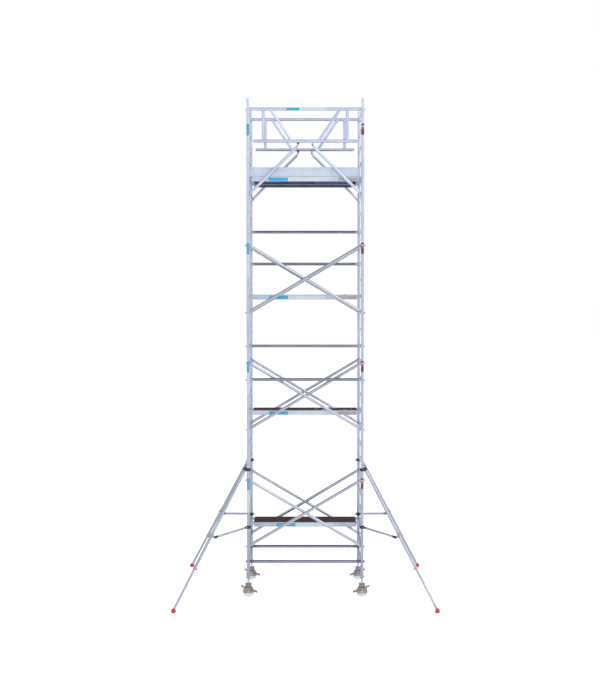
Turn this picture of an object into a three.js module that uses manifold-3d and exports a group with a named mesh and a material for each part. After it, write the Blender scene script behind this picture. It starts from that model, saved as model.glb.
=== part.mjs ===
// Mobile aluminium tower scaffold with ladder frames, braces, platforms,
// folding guardrails, castors and four telescopic stabilisers.
// Millimetres, +Z up, X along the platforms, Y across the tower width,
// origin on the floor under the middle of the tower.
import * as THREE from 'three';
import { mergeVertices } from 'three/addons/utils/BufferGeometryUtils.js';
import Module from 'manifold-3d';

const wasm = await Module();
wasm.setup();

// ---- driving dimensions -------------------------------------------------
const LENGTH = 1900;          // post to post along the platforms
const WIDTH = 1300;           // post to post across
const BASE = 310;             // underside of the first frames
const SECTION = 1960;         // one ladder frame
const PITCH = 280;            // rung spacing
const FIRST_RUNG = 250;       // first rung above a frame's underside
const RUNGS = 7;
const LEVELS = 4;
const POST_R = 25.5, BORE_R = 23;
const SPIGOT_R = 22.2, SPIGOT_BORE_R = 19, SPIGOT_L = 160;
const RUNG_R = 19;
const TUBE_R = 25.4;          // braces, rails and guardrail tubes
const TUBE_UP = 8.5;          // their axis above the rung that they hook on
const HOOK_GAP = 22;          // rung axis to the flat end of such a tube
const BASE_RAIL_Z = 599;      // base rails are clipped to the posts above the first rung
const SIDE_Y = 599;           // plane of the braces and guardrails
const BRACE_IN_Y = 540;       // braces that a guard rail crosses hook further in
const BOW = 12;               // how far each brace bows at its crossing
const DECK_TOP = 26;          // deck surface above the rung that carries it
const BEAM_H = 80;            // platform side beam
const PLATE_L = 1770, PLATE_W = 563.5, PLATE_Y = 284.25;
const DECK_T = 14;
const HATCH_X0 = 185, HATCH_X1 = 795, HATCH_HALF = 230;
const TOE_H = 153, TOE_T = 25;
const TOP_RAIL_UP = 15, MID_RAIL_DOWN = 513, LEG_PIVOT_DOWN = 580, LEG_PIVOT_X = 120, LEG_LIFT = -6;
const WHEEL_R = 100, WHEEL_W = 50, AXLE_R = 8;
const STAB_CLAMP_Z = 2144, STAB_LOW_Z = 1178, STAB_OFF = 77;
const STAB_REACH = 1568.9, STAB_TUBE_R = 24, STAB_INNER_R = 19.5;
const FOOT_CENTRE = 40;

const PX = LENGTH / 2, PY = WIDTH / 2;
const rungZ = (level, n) => BASE + SECTION * level + FIRST_RUNG + PITCH * (n - 1);

// ---- materials ----------------------------------------------------------
const mat = (color, roughness, metalness) =>
  new THREE.MeshStandardMaterial({ color, roughness, metalness });
const aluminium = () => mat(0xc3cadb, 0.38, 0.85);
const tubeGrey = () => mat(0xaab2c2, 0.36, 0.85);
const deckBrown = () => mat(0x573c34, 0.8, 0.0);
const castGrey = () => mat(0x96918b, 0.5, 0.5);
const tyreWhite = () => mat(0xe2e2e0, 0.6, 0.0);
const pedalRed = () => mat(0x86706c, 0.55, 0.4);

// ---- geometry helpers ---------------------------------------------------
function solid(geometry) {
  const g0 = geometry.clone();
  for (const name of Object.keys(g0.attributes)) if (name !== 'position') g0.deleteAttribute(name);
  const g = mergeVertices(g0, 1e-3);
  const idx = g.index.array, keep = [];
  for (let i = 0; i < idx.length; i += 3) {
    const a = idx[i], b = idx[i + 1], c = idx[i + 2];
    if (a !== b && b !== c && c !== a) keep.push(a, b, c);
  }
  return new wasm.Manifold(new wasm.Mesh({
    numProp: 3,
    vertProperties: new Float32Array(g.attributes.position.array),
    triVerts: new Uint32Array(keep),
  }));
}

function toGeometry(m) {
  const mesh = m.getMesh(), n = mesh.numProp, v = mesh.vertProperties;
  const pos = new Float32Array(v.length / n * 3);
  for (let i = 0; i < v.length / n; i++) for (let k = 0; k < 3; k++) pos[3 * i + k] = v[n * i + k];
  const g = new THREE.BufferGeometry();
  g.setAttribute('position', new THREE.BufferAttribute(pos, 3));
  g.setIndex(new THREE.BufferAttribute(new Uint32Array(mesh.triVerts), 1));
  g.computeVertexNormals();
  return g;
}

const join = (list) => list.reduce((a, b) => a.add(b));
const cut = (a, list) => list.reduce((x, y) => x.subtract(y), a);

function box(x0, x1, y0, y1, z0, z1) {
  const g = new THREE.BoxGeometry(x1 - x0, y1 - y0, z1 - z0);
  g.translate((x0 + x1) / 2, (y0 + y1) / 2, (z0 + z1) / 2);
  return solid(g);
}

// a round bar from p to q
function bar(p, q, r, n = 6) {
  const a = new THREE.Vector3(...p), b = new THREE.Vector3(...q);
  const d = b.clone().sub(a), len = d.length();
  const g = new THREE.CylinderGeometry(r, r, len, n);
  g.translate(0, len / 2, 0);
  g.applyQuaternion(new THREE.Quaternion().setFromUnitVectors(new THREE.Vector3(0, 1, 0), d.normalize()));
  g.translate(a.x, a.y, a.z);
  return solid(g);
}

// a profile of [radius, height] points turned about +Z
function turned(points, n = 12) {
  const g = new THREE.LatheGeometry(points.map(([r, z]) => new THREE.Vector2(r, z)), n);
  g.rotateX(Math.PI / 2);
  return solid(g);
}
// a closed ring profile (tube, collar)
const tube = (ro, ri, z0, z1, n = 12) =>
  turned([[ri, z0], [ro, z0], [ro, z1], [ri, z1], [ri, z0]], n);

// outline in X and Z, thickness along Y centred on y
function plateXZ(points, y, thick) {
  const s = new THREE.Shape(points.map(([x, z]) => new THREE.Vector2(x, z)));
  const g = new THREE.ExtrudeGeometry(s, { depth: thick, bevelEnabled: false });
  g.rotateX(Math.PI / 2);
  g.translate(0, y + thick / 2, 0);
  return solid(g);
}

// a hook that closes over a rung; dir is +1 when it faces +X
const HOOK = (nose) => [[19.5, -13], [19.5, 8.08], [8.08, 19.5], [-8.08, 19.5], [-19.5, 8.08], [-19.5, -13],
  [-30, -13], [-30, 14], [-14, 30], [16, 30], [nose - 12, 14], [nose, 10], [nose, -13]];
const hook = (x, z, dir, nose = 53) =>
  plateXZ(HOOK(nose).map(([a, b]) => [x + dir * a, z + b]), 0, 34);
// a hook open on its outer upper side, for a leg that swings inwards off the rung
const CRADLE = [[-8.08, 19.5], [-19.5, 8.08], [-19.5, -8.08], [-8.08, -19.5], [8.08, -19.5],
  [16, -31], [-8, -32], [-32, -8], [-31, 14]];
const cradle = (x, z, dir) => plateXZ(CRADLE.map(([a, b]) => [x + dir * a, z + b]), 0, 34);

// a claw that snaps round a post at (x, 0), open towards -open in Y, with its release nub outside
function claw(x, dir, open) {
  const ring = [];
  for (let a = -15; a <= 195; a += 15) ring.push([37.5, a]);
  for (let a = 195; a >= -15; a -= 15) ring.push([27.5, a]);
  const s = new THREE.Shape(ring.map(([r, a]) => new THREE.Vector2(
    x + r * Math.cos(a * Math.PI / 180), open * r * Math.sin(a * Math.PI / 180))));
  const g = new THREE.ExtrudeGeometry(s, { depth: 34, bevelEnabled: false });
  g.translate(0, 0, -17);
  const nub = dir > 0 ? [x + 35, x + 48] : [x - 48, x - 35];
  return solid(g).add(box(...nub, -9, 9, -15, 15));
}

const root = new THREE.Group();
function add(name, manifoldSolid, material, position = [0, 0, 0], turn = 0) {
  const mesh = new THREE.Mesh(toGeometry(manifoldSolid), material);
  mesh.name = name;
  mesh.position.set(...position);
  mesh.rotation.z = turn;
  root.add(mesh);
  return mesh;
}

// ---- ladder frames ------------------------------------------------------
// side is the direction of the outside of the tower
function ladderFrame(bottom, side) {
  const body = [], bores = [];
  const top = SECTION - 0.3;
  for (const s of [-1, 1]) {
    body.push(turned([[0, 0], [POST_R, 0], [POST_R, top], [SPIGOT_R, top],
      [SPIGOT_R, top + SPIGOT_L], [0, top + SPIGOT_L]], 8).translate([0, s * PY, 0]));
    bores.push(turned([[0, -10], [BORE_R, -10], [BORE_R, top - 25], [SPIGOT_BORE_R, top - 25],
      [SPIGOT_BORE_R, top + SPIGOT_L + 10], [0, top + SPIGOT_L + 10]], 8).translate([0, s * PY, 0]));
    if (bottom) {
      // clamp screw that locks the castor spindle
      body.push(bar([side * 22, s * PY, 34], [side * 40, s * PY, 34], 7, 6));
      body.push(box(...(side > 0 ? [38, 45] : [-45, -38]), s * PY - 15, s * PY + 15, 26, 42));
    } else {
      // head of the locking pin above each joint
      body.push(box(-7, 7, ...(s > 0 ? [PY + 22, PY + 34] : [-PY - 34, -PY - 22]), 133, 147));
    }
  }
  for (let k = 0; k < RUNGS; k++) {
    const z = FIRST_RUNG + PITCH * k;
    body.push(bar([0, -PY + 8, z], [0, PY - 8, z], RUNG_R));
  }
  return cut(join(body), bores);
}
for (const [name, side] of [['left', -1], ['right', 1]]) {
  const first = ladderFrame(true, side), other = ladderFrame(false, side);
  for (let i = 0; i < LEVELS; i++) {
    add(`frame_${name}_${i + 1}`, i ? other : first, aluminium(), [side * PX, 0, BASE + SECTION * i]);
  }
}

// ---- crossed braces, one pair each side of the three lower sections -----
function crossPair(front) {
  const dx = PX, dz = 2 * PITCH, len = Math.hypot(dx, dz);
  const parts = [];
  for (const slash of [1, -1]) {
    const y = (slash > 0) === front ? -BOW : BOW;
    for (const e of [-1, 1]) {
      const cx = e * dx, cz = e * slash * dz, t = (HOOK_GAP + TUBE_UP * e * slash * dz / len) / len;
      parts.push(bar([cx * (1 - t), 0, cz * (1 - t) + TUBE_UP], [-e * 3, y, TUBE_UP - e * slash * 1.8], TUBE_R));
      parts.push(hook(cx, cz, e));
    }
  }
  return join(parts);
}
const pairs = { true: crossPair(true), false: crossPair(false) };
for (const [name, s] of [['near', -1], ['far', 1]]) {
  for (let i = 0; i < 3; i++) {
    const crossed = (s < 0 && i === 1) || (s > 0 && i === 2);
    add(`cross_brace_${name}_${i + 1}`, pairs[i !== 1], tubeGrey(),
      [0, s * (crossed ? BRACE_IN_Y : SIDE_Y), rungZ(i, 4)]);
  }
}

// ---- straight rails hooked on the rungs, base rails clipped to the posts --
const END = PX - HOOK_GAP;
const rail = join([bar([-END, 0, TUBE_UP], [END, 0, TUBE_UP], TUBE_R), hook(-PX, 0, -1), hook(PX, 0, 1)]);
for (const [name, s] of [['base_rail_near', -1], ['base_rail_far', 1]]) {
  const base = join([bar([-PX + 30, 0, 0], [PX - 30, 0, 0], TUBE_R), claw(-PX, -1, -s), claw(PX, 1, -s)]);
  add(name, base, tubeGrey(), [0, s * PY, BASE_RAIL_Z]);
}
for (const [name, s, level, rung] of [
  ['guard_rail_near_low', -1, 1, 5], ['guard_rail_near_high', -1, 1, 7],
  ['guard_rail_far_low', 1, 2, 5], ['guard_rail_far_high', 1, 2, 7]]) {
  add(name, rail, tubeGrey(), [0, s * SIDE_Y, rungZ(level, rung)]);
}

// ---- platforms ----------------------------------------------------------
const PLATE_HOOK = [[-80, -26], [-80, 22], [-12, 31], [14, 31], [31, 12], [31, -16], [19.5, -16],
  [19.5, 8.08], [8.08, 19.5], [-8.08, 19.5], [-19.5, 8.08], [-19.5, -26]];
function platform(hatch) {
  const hx = PLATE_L / 2, hy = PLATE_W / 2, under = DECK_TOP - BEAM_H, deckLow = DECK_TOP - DECK_T;
  const parts = [box(-hx, hx, -hy, hy, under, DECK_TOP)];
  for (const e of [-1, 1]) for (const y of [-215, 215]) {
    parts.push(plateXZ(PLATE_HOOK.map(([a, b]) => [e * (PX + a), b]), y, 46));
  }
  const cuts = [];
  const spans = hatch ? [[-850, -350], [-320, 140]] : [[-850, -450], [-420, -15], [15, 420], [450, 850]];
  for (const [a, b] of spans) cuts.push(box(a, b, -250, 250, under - 5, deckLow));
  if (hatch) {
    cuts.push(box(HATCH_X0 + 20, HATCH_X1 - 20, -HATCH_HALF + 20, HATCH_HALF - 20, under - 5, deckLow + 5));
    cuts.push(box(HATCH_X0, HATCH_X1, -HATCH_HALF, HATCH_HALF, deckLow, DECK_TOP + 5));
  }
  return cut(join(parts), cuts);
}
const lid = box(HATCH_X0 + 1, HATCH_X1 - 1, -HATCH_HALF + 1, HATCH_HALF - 1, DECK_TOP - DECK_T + 0.4, DECK_TOP);
const plain = platform(false), withHatch = platform(true);
for (const [name, geo, y, level, hasLid] of [
  ['platform_1', plain, PLATE_Y, 0, false],
  ['platform_2', withHatch, 0, 1, true],
  ['platform_3', withHatch, 0, 2, true],
  ['platform_4_near', withHatch, -PLATE_Y, 3, true],
  ['platform_4_far', plain, PLATE_Y, 3, false]]) {
  add(name, geo, deckBrown(), [0, y, rungZ(level, 3)]);
  if (hasLid) add(`hatch_${level + 1}`, lid, deckBrown(), [0, y, rungZ(level, 3)]);
}

// ---- toe boards around the top deck -------------------------------------
const TOE_X = 880, TOE_Y = 566, TOE_END = 905;
const toe = cut(join([box(-TOE_X, TOE_X, -TOE_Y, TOE_Y, 0, TOE_H),
  box(-TOE_END, TOE_END, -TOE_Y, -TOE_Y + TOE_T, 0, TOE_H), box(-TOE_END, TOE_END, TOE_Y - TOE_T, TOE_Y, 0, TOE_H)]),
[box(-TOE_X + TOE_T, TOE_X - TOE_T, -TOE_Y + TOE_T, TOE_Y - TOE_T, -5, TOE_H + 5)]);
add('toe_boards', toe, aluminium(), [0, 0, rungZ(3, 3) + DECK_TOP + 0.4]);

// ---- folding guardrail frames -------------------------------------------
// local origin: on the top rung of the fourth frames
function guardFrame() {
  const top = TOP_RAIL_UP, mid = -MID_RAIL_DOWN, pivot = -LEG_PIVOT_DOWN;
  const parts = [bar([-END, 0, top], [END, 0, top], TUBE_R, 8), hook(-PX, 0, -1, 45), hook(PX, 0, 1, 45),
    bar([-865, 0, mid], [865, 0, mid], TUBE_R, 8)];
  for (const s of [-1, 1]) {
    parts.push(bar([s * 695, 0, mid], [s * 695, 0, top], TUBE_R - 0.4));
    parts.push(bar([s * 578, 0, top], [s * 222, 0, mid], TUBE_R - 0.4));
    parts.push(box(s * LEG_PIVOT_X - 16, s * LEG_PIVOT_X + 16, -5, 5, pivot - 16, mid - 10));
  }
  const holes = [-1, 1].map((s) => bar([s * LEG_PIVOT_X, -20, pivot], [s * LEG_PIVOT_X, 20, pivot], 7.4));
  return cut(join(parts), holes);
}
// local origin: the leg's pivot; the leg runs down and out to a rung
function guardLeg(dir) {
  const dx = PX - LEG_PIVOT_X, dz = -(6 * PITCH - LEG_PIVOT_DOWN - PITCH) , len = Math.hypot(dx, dz);
  const at = (d, lift = 0) => [dir * (dx * d - dz * lift) / len, 0, (dz * d + dx * lift) / len];
  const parts = [bar(at(34, LEG_LIFT), at(len - 24, LEG_LIFT), TUBE_R - 0.4), cradle(dir * dx, dz, dir)];
  for (const s of [-1, 1]) {
    const p = at(-14), q = at(60);
    // cheek plates on both sides of the lug
    const nx = -dz / len * 15, nz = dir * dx / len * 15;
    parts.push(plateXZ([[p[0] + nx, p[2] + nz], [q[0] + nx, q[2] + nz], [q[0] - nx, q[2] - nz], [p[0] - nx, p[2] - nz]], s * 9, 6));
  }
  parts.push(bar([0, -12, 0], [0, 12, 0], 6));
  return join(parts);
}
const guard = guardFrame();
for (const [name, s] of [['near', -1], ['far', 1]]) {
  add(`guardrail_${name}`, guard, aluminium(), [0, s * SIDE_Y, rungZ(3, 7)]);
  for (const [side, dir] of [['left', -1], ['right', 1]]) {
    add(`guardrail_leg_${name}_${side}`, guardLeg(dir), aluminium(),
      [dir * LEG_PIVOT_X, s * SIDE_Y, rungZ(3, 7) - LEG_PIVOT_DOWN]);
  }
}

// ---- castors ------------------------------------------------------------
// local origin: on the floor under the spindle
const spindle = turned([[0, 232], [26, 232], [26, 242], [18, 242], [18, 700], [0, 700]], 10);
const CHEEK = [[-50, 214], [50, 214], [52, 174], [70, 168], [80, 152], [86, 122], [86, 86], [76, 74],
  [-76, 74], [-86, 86], [-86, 122], [-80, 152], [-70, 168], [-52, 174]];
function fork() {
  const parts = [turned([[0, 205], [48, 205], [48, 231.6], [0, 231.6]], 10), box(-52, 52, -34, 34, 204, 214),
    plateXZ(CHEEK, 32, 4), plateXZ(CHEEK, -32, 4),
    bar([0, -42, WHEEL_R], [0, 42, WHEEL_R], AXLE_R, 8)];
  for (const s of [-1, 1]) parts.push(bar([0, s * 33, 143], [0, s * 44, 143], 6));
  return join(parts);
}
const WHEEL_RV = WHEEL_R / Math.cos(Math.PI / 24);
function wheel() {
  const w = WHEEL_W / 2;
  const g = turned([[8.6, -w], [WHEEL_RV - 6, -w], [WHEEL_RV, -w + 8], [WHEEL_RV, w - 8], [WHEEL_RV - 6, w], [8.6, w], [8.6, -w]], 24);
  return g.rotate([0, 0, 7.5]).rotate([90, 0, 0]);
}
// rocker that locks the wheel: a long pedal inwards and a release lever outwards
function pedal(dir) {
  const ix = 150, iz = -57, ox = -125, oz = 47, h = 8;
  const side = [[dir * ox, oz - h], [dir * ox, oz + h], [dir * -10, h + 6], [dir * 10, h + 2],
    [dir * ix, iz + h], [dir * ix, iz - h], [dir * 10, -h - 2], [dir * -10, -h - 2]];
  const parts = [];
  for (const s of [-1, 1]) parts.push(plateXZ(side, s * 37.6, 5));
  parts.push(plateXZ([[dir * ix, iz - h], [dir * ix, iz + h], [dir * (ix - 30), iz + h + 11], [dir * (ix - 30), iz - h + 11]], 0, 75));
  parts.push(plateXZ([[dir * ox, oz - h], [dir * ox, oz + h], [dir * (ox + 26), oz + h - 9], [dir * (ox + 26), oz - h - 9]], 0, 75));
  const hole = bar([0, -60, 0], [0, 60, 0], 7.4);
  return cut(join(parts), [hole]);
}
const forkSolid = fork(), wheelSolid = wheel();
const corners = [['near_left', -1, -1], ['near_right', 1, -1], ['far_left', -1, 1], ['far_right', 1, 1]];
for (const [name, sx, sy] of corners) {
  const at = [sx * PX, sy * PY, 0];
  add(`castor_spindle_${name}`, spindle, castGrey(), at);
  add(`castor_fork_${name}`, forkSolid, castGrey(), at);
  add(`castor_wheel_${name}`, wheelSolid, tyreWhite(), [at[0], at[1], WHEEL_R]);
  add(`castor_brake_${name}`, pedal(-sx), pedalRed(), [at[0], at[1], 143]);
}

// ---- stabilisers --------------------------------------------------------
// local origin: on the floor under the post, +X pointing away from the tower;
// k is the side of the post on which the long tube passes
const drop = STAB_CLAMP_Z - FOOT_CENTRE, stabLen = Math.hypot(STAB_REACH, drop);
const dirX = STAB_REACH / stabLen, dirZ = -drop / stabLen, lean = Math.atan2(STAB_REACH, drop);
const along = (k, s) => [dirX * s, k * STAB_OFF, STAB_CLAMP_Z + dirZ * s];
// a shape turned about +Z, laid along the stabiliser tube from distance s down
function onTube(m, k, s) {
  return m.rotate([0, 180 - lean * 180 / Math.PI, 0]).translate(along(k, s));
}
function stabOuter(k) {
  const end = 0.72 * stabLen;
  const parts = [onTube(turned([[0, -70], [STAB_TUBE_R, -70], [STAB_TUBE_R, end], [0, end]], 8), k, 0),
    onTube(turned([[0, -28], [35, -28], [35, 28], [0, 28]], 8), k, 0),
    onTube(turned([[0, -26], [34, -26], [34, 26], [0, 26]], 8), k, 1261),
    tube(37, 27.2, STAB_CLAMP_Z - 25, STAB_CLAMP_Z + 25, 10), tube(37, 27.2, STAB_LOW_Z - 25, STAB_LOW_Z + 25, 10),
    box(-16, 16, ...(k > 0 ? [30, STAB_OFF - 20] : [-STAB_OFF + 20, -30]), STAB_CLAMP_Z - 20, STAB_CLAMP_Z + 20),
    bar([31, 0, STAB_LOW_Z], [742, k * 30, 1098], 19),
    bar([736, k * 22, 1098], [along(k, 1261)[0], k * STAB_OFF, along(k, 1261)[2]], 16)];
  const bore = onTube(turned([[0, -50], [21, -50], [21, end + 20], [0, end + 20]], 8), k, 0);
  return cut(join(parts), [bore]);
}
function stabInner(k) {
  const foot = turned([[0, 0], [26, 0], [35, 12], [38, 34], [31, 56], [14, 68], [0, 68]], 10).translate([STAB_REACH, k * STAB_OFF, 0]);
  return join([onTube(turned([[0, 1420], [STAB_INNER_R, 1420], [STAB_INNER_R, stabLen], [0, stabLen]], 8), k, 0), foot]);
}
const outer = { 1: stabOuter(1), '-1': stabOuter(-1) }, inner = { 1: stabInner(1), '-1': stabInner(-1) };
const spread = THREE.MathUtils.degToRad(45.75);
for (const [name, sx, sy] of corners) {
  const k = sx * sy < 0 ? 1 : -1;
  const turn = Math.atan2(sy * Math.sin(spread), sx * Math.cos(spread));
  add(`stabiliser_${name}`, outer[k], aluminium(), [sx * PX, sy * PY, 0], turn);
  add(`stabiliser_leg_${name}`, inner[k], aluminium(), [sx * PX, sy * PY, 0], turn);
}

export default root;
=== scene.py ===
import bmesh
import bpy
import math
import random
from mathutils import Matrix, Quaternion, Vector


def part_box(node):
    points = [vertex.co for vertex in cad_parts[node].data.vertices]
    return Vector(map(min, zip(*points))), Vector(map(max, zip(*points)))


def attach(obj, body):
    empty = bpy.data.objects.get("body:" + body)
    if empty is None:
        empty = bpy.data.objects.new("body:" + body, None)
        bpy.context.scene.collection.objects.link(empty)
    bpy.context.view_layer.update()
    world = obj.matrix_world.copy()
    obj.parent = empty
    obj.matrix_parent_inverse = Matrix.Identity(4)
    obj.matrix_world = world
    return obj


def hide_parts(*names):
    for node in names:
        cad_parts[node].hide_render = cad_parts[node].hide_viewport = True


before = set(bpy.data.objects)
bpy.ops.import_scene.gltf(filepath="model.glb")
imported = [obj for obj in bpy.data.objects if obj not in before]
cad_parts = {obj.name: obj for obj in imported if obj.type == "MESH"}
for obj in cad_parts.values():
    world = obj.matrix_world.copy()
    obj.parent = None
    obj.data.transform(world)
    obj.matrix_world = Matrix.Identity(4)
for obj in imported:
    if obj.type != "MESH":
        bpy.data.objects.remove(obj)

random.seed(7)
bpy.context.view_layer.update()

# ------------------------------------------------------------------ numbers
SEC, PITCH, FIRST = 1.96, 0.28, 0.25
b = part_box("frame_right_2")
PX = (b[0][0] + b[1][0]) / 2
PY = 0.65
BASE = b[0][2] - SEC
POST_R, RUNG_R, SIDE_Y, BRACE_IN = 0.0255, 0.019, 0.599, 0.540
TUBE_R, TUBE_UP, BASE_RAIL_Z = 0.0254, 0.0085, 0.599
REACH, CLAMP_Z, LOW_Z, OFF, FOOT_Z = 1.5689, 2.144, 1.178, 0.077, 0.040
SPREAD = math.radians(45.75)


def rung_z(level, n):
    return BASE + SEC * level + FIRST + PITCH * (n - 1)


T = Matrix.Translation


def RX(a): return Matrix.Rotation(a, 4, "X")
def RY(a): return Matrix.Rotation(a, 4, "Y")
def RZ(a): return Matrix.Rotation(a, 4, "Z")


FLIPX = Matrix.Diagonal((-1, 1, 1, 1))
FLIPY = Matrix.Diagonal((1, -1, 1, 1))


# ------------------------------------------------------------------ mesh code
class Acc:
    """Collects faces for one piece."""

    def __init__(self):
        self.v, self.f, self.m = [], [], []

    def put(self, verts, faces, mat=0, M=None):
        k = len(self.v)
        flip = False
        if M is not None:
            verts = [M @ Vector(p) for p in verts]
            flip = M.determinant() < 0
        self.v.extend([tuple(p) for p in verts])
        for f in faces:
            g = [i + k for i in f]
            if flip:
                g.reverse()
            self.f.append(g)
            self.m.append(mat)

    def rings(self, rings, mat=0, M=None, cap0=True, cap1=True, closed=False):
        """Skins a list of rings of points; each ring turns anticlockwise seen against the way the rings go."""
        n = len(rings[0])
        verts = [p for r in rings for p in r]
        faces = []
        last = len(rings) if closed else len(rings) - 1
        for i in range(last):
            a, c = i * n, ((i + 1) % len(rings)) * n
            for j in range(n):
                k = (j + 1) % n
                faces.append((a + j, a + k, c + k, c + j))
        if not closed:
            if cap0:
                faces.append(tuple(reversed(range(n))))
            if cap1:
                o = (len(rings) - 1) * n
                faces.append(tuple(range(o, o + n)))
        self.put(verts, faces, mat, M)

    def lathe(self, prof, n=32, mat=0, M=None, close=False):
        """Turns (radius, z) points, going outwards then up, about Z."""
        verts, faces, idx = [], [], []
        for r, z in prof:
            if r < 1e-7:
                idx.append([len(verts)])
                verts.append((0, 0, z))
            else:
                idx.append(list(range(len(verts), len(verts) + n)))
                verts.extend([(r * math.cos(2 * math.pi * j / n), r * math.sin(2 * math.pi * j / n), z) for j in range(n)])
        pairs = list(zip(idx, idx[1:]))
        if close:
            pairs.append((idx[-1], idx[0]))
        for a, c in pairs:
            if len(a) == 1 and len(c) == 1:
                continue
            for j in range(n):
                k = (j + 1) % n
                if len(a) == 1:
                    faces.append((a[0], c[k], c[j]))
                elif len(c) == 1:
                    faces.append((a[j], a[k], c[0]))
                else:
                    faces.append((a[j], a[k], c[k], c[j]))
        self.put(verts, faces, mat, M)

    def tube(self, path, r, n=24, mat=0, M=None, flute=0.0, radii=None, cap=True):
        """Round bar along a path of points."""
        pts = [Vector(p) for p in path]
        tang = []
        for i, p in enumerate(pts):
            a = pts[max(i - 1, 0)]
            c = pts[min(i + 1, len(pts) - 1)]
            tang.append((c - a).normalized())
        up = Vector((0, 0, 1)) if abs(tang[0].z) < 0.9 else Vector((0, 1, 0))
        u = tang[0].cross(up).normalized()
        rings = []
        for i, p in enumerate(pts):
            if i:
                q = tang[i - 1].rotation_difference(tang[i])
                u = (q @ u).normalized()
            w = tang[i].cross(u)
            rr = radii[i] if radii else r
            ring = []
            for j in range(n):
                a = 2 * math.pi * j / n
                d = rr - (flute if j % 2 else 0.0)
                ring.append(tuple(p + u * (d * math.cos(a)) + w * (d * math.sin(a))))
            rings.append(ring)
        self.rings(rings, mat, M, cap, cap)

    def slab(self, poly, y0, y1, mat=0, M=None, bevel=0.0012):
        """Outline in X and Z, anticlockwise seen from -Y, thickened from y0 to y1 with small chamfers."""
        area = sum(a[0] * c[1] - c[0] * a[1] for a, c in zip(poly, poly[1:] + poly[:1]))
        if area < 0:
            poly = list(reversed(poly))
        bevel = min(bevel, abs(y1 - y0) * 0.3)
        n = len(poly)
        inner = []
        for i in range(n):
            p0, p1, p2 = (Vector(poly[(i + k) % n]) for k in (-1, 0, 1))
            d0, d1 = (p1 - p0), (p2 - p1)
            if d0.length < 1e-9 or d1.length < 1e-9:
                inner.append(tuple(p1))
                continue
            d0.normalize(); d1.normalize()
            n0, n1 = Vector((-d0.y, d0.x)), Vector((-d1.y, d1.x))
            m = n0 + n1
            if m.length < 1e-6:
                inner.append(tuple(p1))
                continue
            m.normalize()
            s = bevel / max(0.35, m.dot(n0))
            inner.append((p1.x + m.x * s, p1.y + m.y * s))
        def ring(pts, y): return [(x, y, z) for x, z in pts]
        # rings go along +Y; seen against that way the outline turns clockwise, so reverse
        rr = [ring(inner, y0), ring(poly, y0 + bevel), ring(poly, y1 - bevel), ring(inner, y1)]
        rr = [list(reversed(r)) for r in rr]
        self.rings(rr, mat, M)

    def box(self, x0, x1, y0, y1, z0, z1, mat=0, M=None, bevel=0.0012):
        c = min(bevel, (x1 - x0) * 0.3, (z1 - z0) * 0.3)
        poly = [(x0 + c, z0), (x1 - c, z0), (x1, z0 + c), (x1, z1 - c), (x1 - c, z1), (x0 + c, z1), (x0, z1 - c), (x0, z0 + c)]
        self.slab(poly, y0, y1, mat, M, bevel)

    def along_x(self, poly, x0, x1, mat=0, M=None, bevel=0.0008):
        """Outline in Y and Z pushed along X."""
        R = Matrix(((0, 1, 0, 0), (1, 0, 0, 0), (0, 0, 1, 0), (0, 0, 0, 1)))
        self.slab(poly, x0, x1, mat, (M @ R) if M is not None else R, bevel)

    def dome(self, r, h, M, mat=0, n=12):
        prof = [(0, 0), (r, 0)] + [(r * math.cos(a), h * math.sin(a)) for a in (0.35, 0.8, 1.2)] + [(0, h)]
        self.lathe(prof, n, mat, M)

    def bolt(self, r, h, M, mat=0):
        """Hexagon head on a washer, standing up +Z."""
        self.lathe([(0, 0), (r * 1.35, 0), (r * 1.35, h * 0.18), (0, h * 0.18)], 20, mat, M)
        hexa = [(r * math.cos(math.pi / 3 * i), r * math.sin(math.pi / 3 * i)) for i in range(6)]
        c = r * 0.86
        small = [(c * math.cos(math.pi / 3 * i), c * math.sin(math.pi / 3 * i)) for i in range(6)]
        self.rings([[(x, y, h * 0.18) for x, y in hexa], [(x, y, h * 0.85) for x, y in hexa], [(x, y, h) for x, y in small]], mat, M)

    def torus(self, R, r, M, mat=0, n=28, k=8, a0=0.0, a1=2 * math.pi, bumpy=0.0):
        full = abs(a1 - a0 - 2 * math.pi) < 1e-6
        rings = []
        steps = n if full else n + 1
        for i in range(steps):
            a = a0 + (a1 - a0) * i / n
            rr = r * (1 + bumpy * math.sin(a * n / 2 * 1.0 + i))
            rings.append([((R + rr * math.cos(t)) * math.cos(a), (R + rr * math.cos(t)) * math.sin(a), rr * math.sin(t))
                          for t in [-2 * math.pi * j / k for j in range(k)]])
        rings = [list(reversed(q)) for q in rings]
        self.rings(rings, mat, M, True, True, closed=full)

    def saddle(self, r, R, M, bead=0.0028, mat=0, n=28, k=6):
        """Weld bead where a bar of radius r along +Y meets a post of radius R along Z at the origin; the bar comes from -Y."""
        rings = []
        for i in range(n):
            a = 2 * math.pi * i / n
            x, z = r * math.cos(a), r * math.sin(a)
            y = -math.sqrt(max(R * R - x * x, 1e-8))
            out = Vector((math.cos(a), 0, math.sin(a)))
            back = Vector((0, -1, 0))
            c = Vector((x, y, z))
            rr = bead * (1 + 0.16 * math.sin(i * 2.1))
            rings.append([tuple(c + out * (rr * math.cos(t)) + back * (rr * math.sin(t))) for t in [2 * math.pi * j / k for j in range(k)]])
        self.rings(rings, mat, M, closed=True)


PIECES = []


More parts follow.
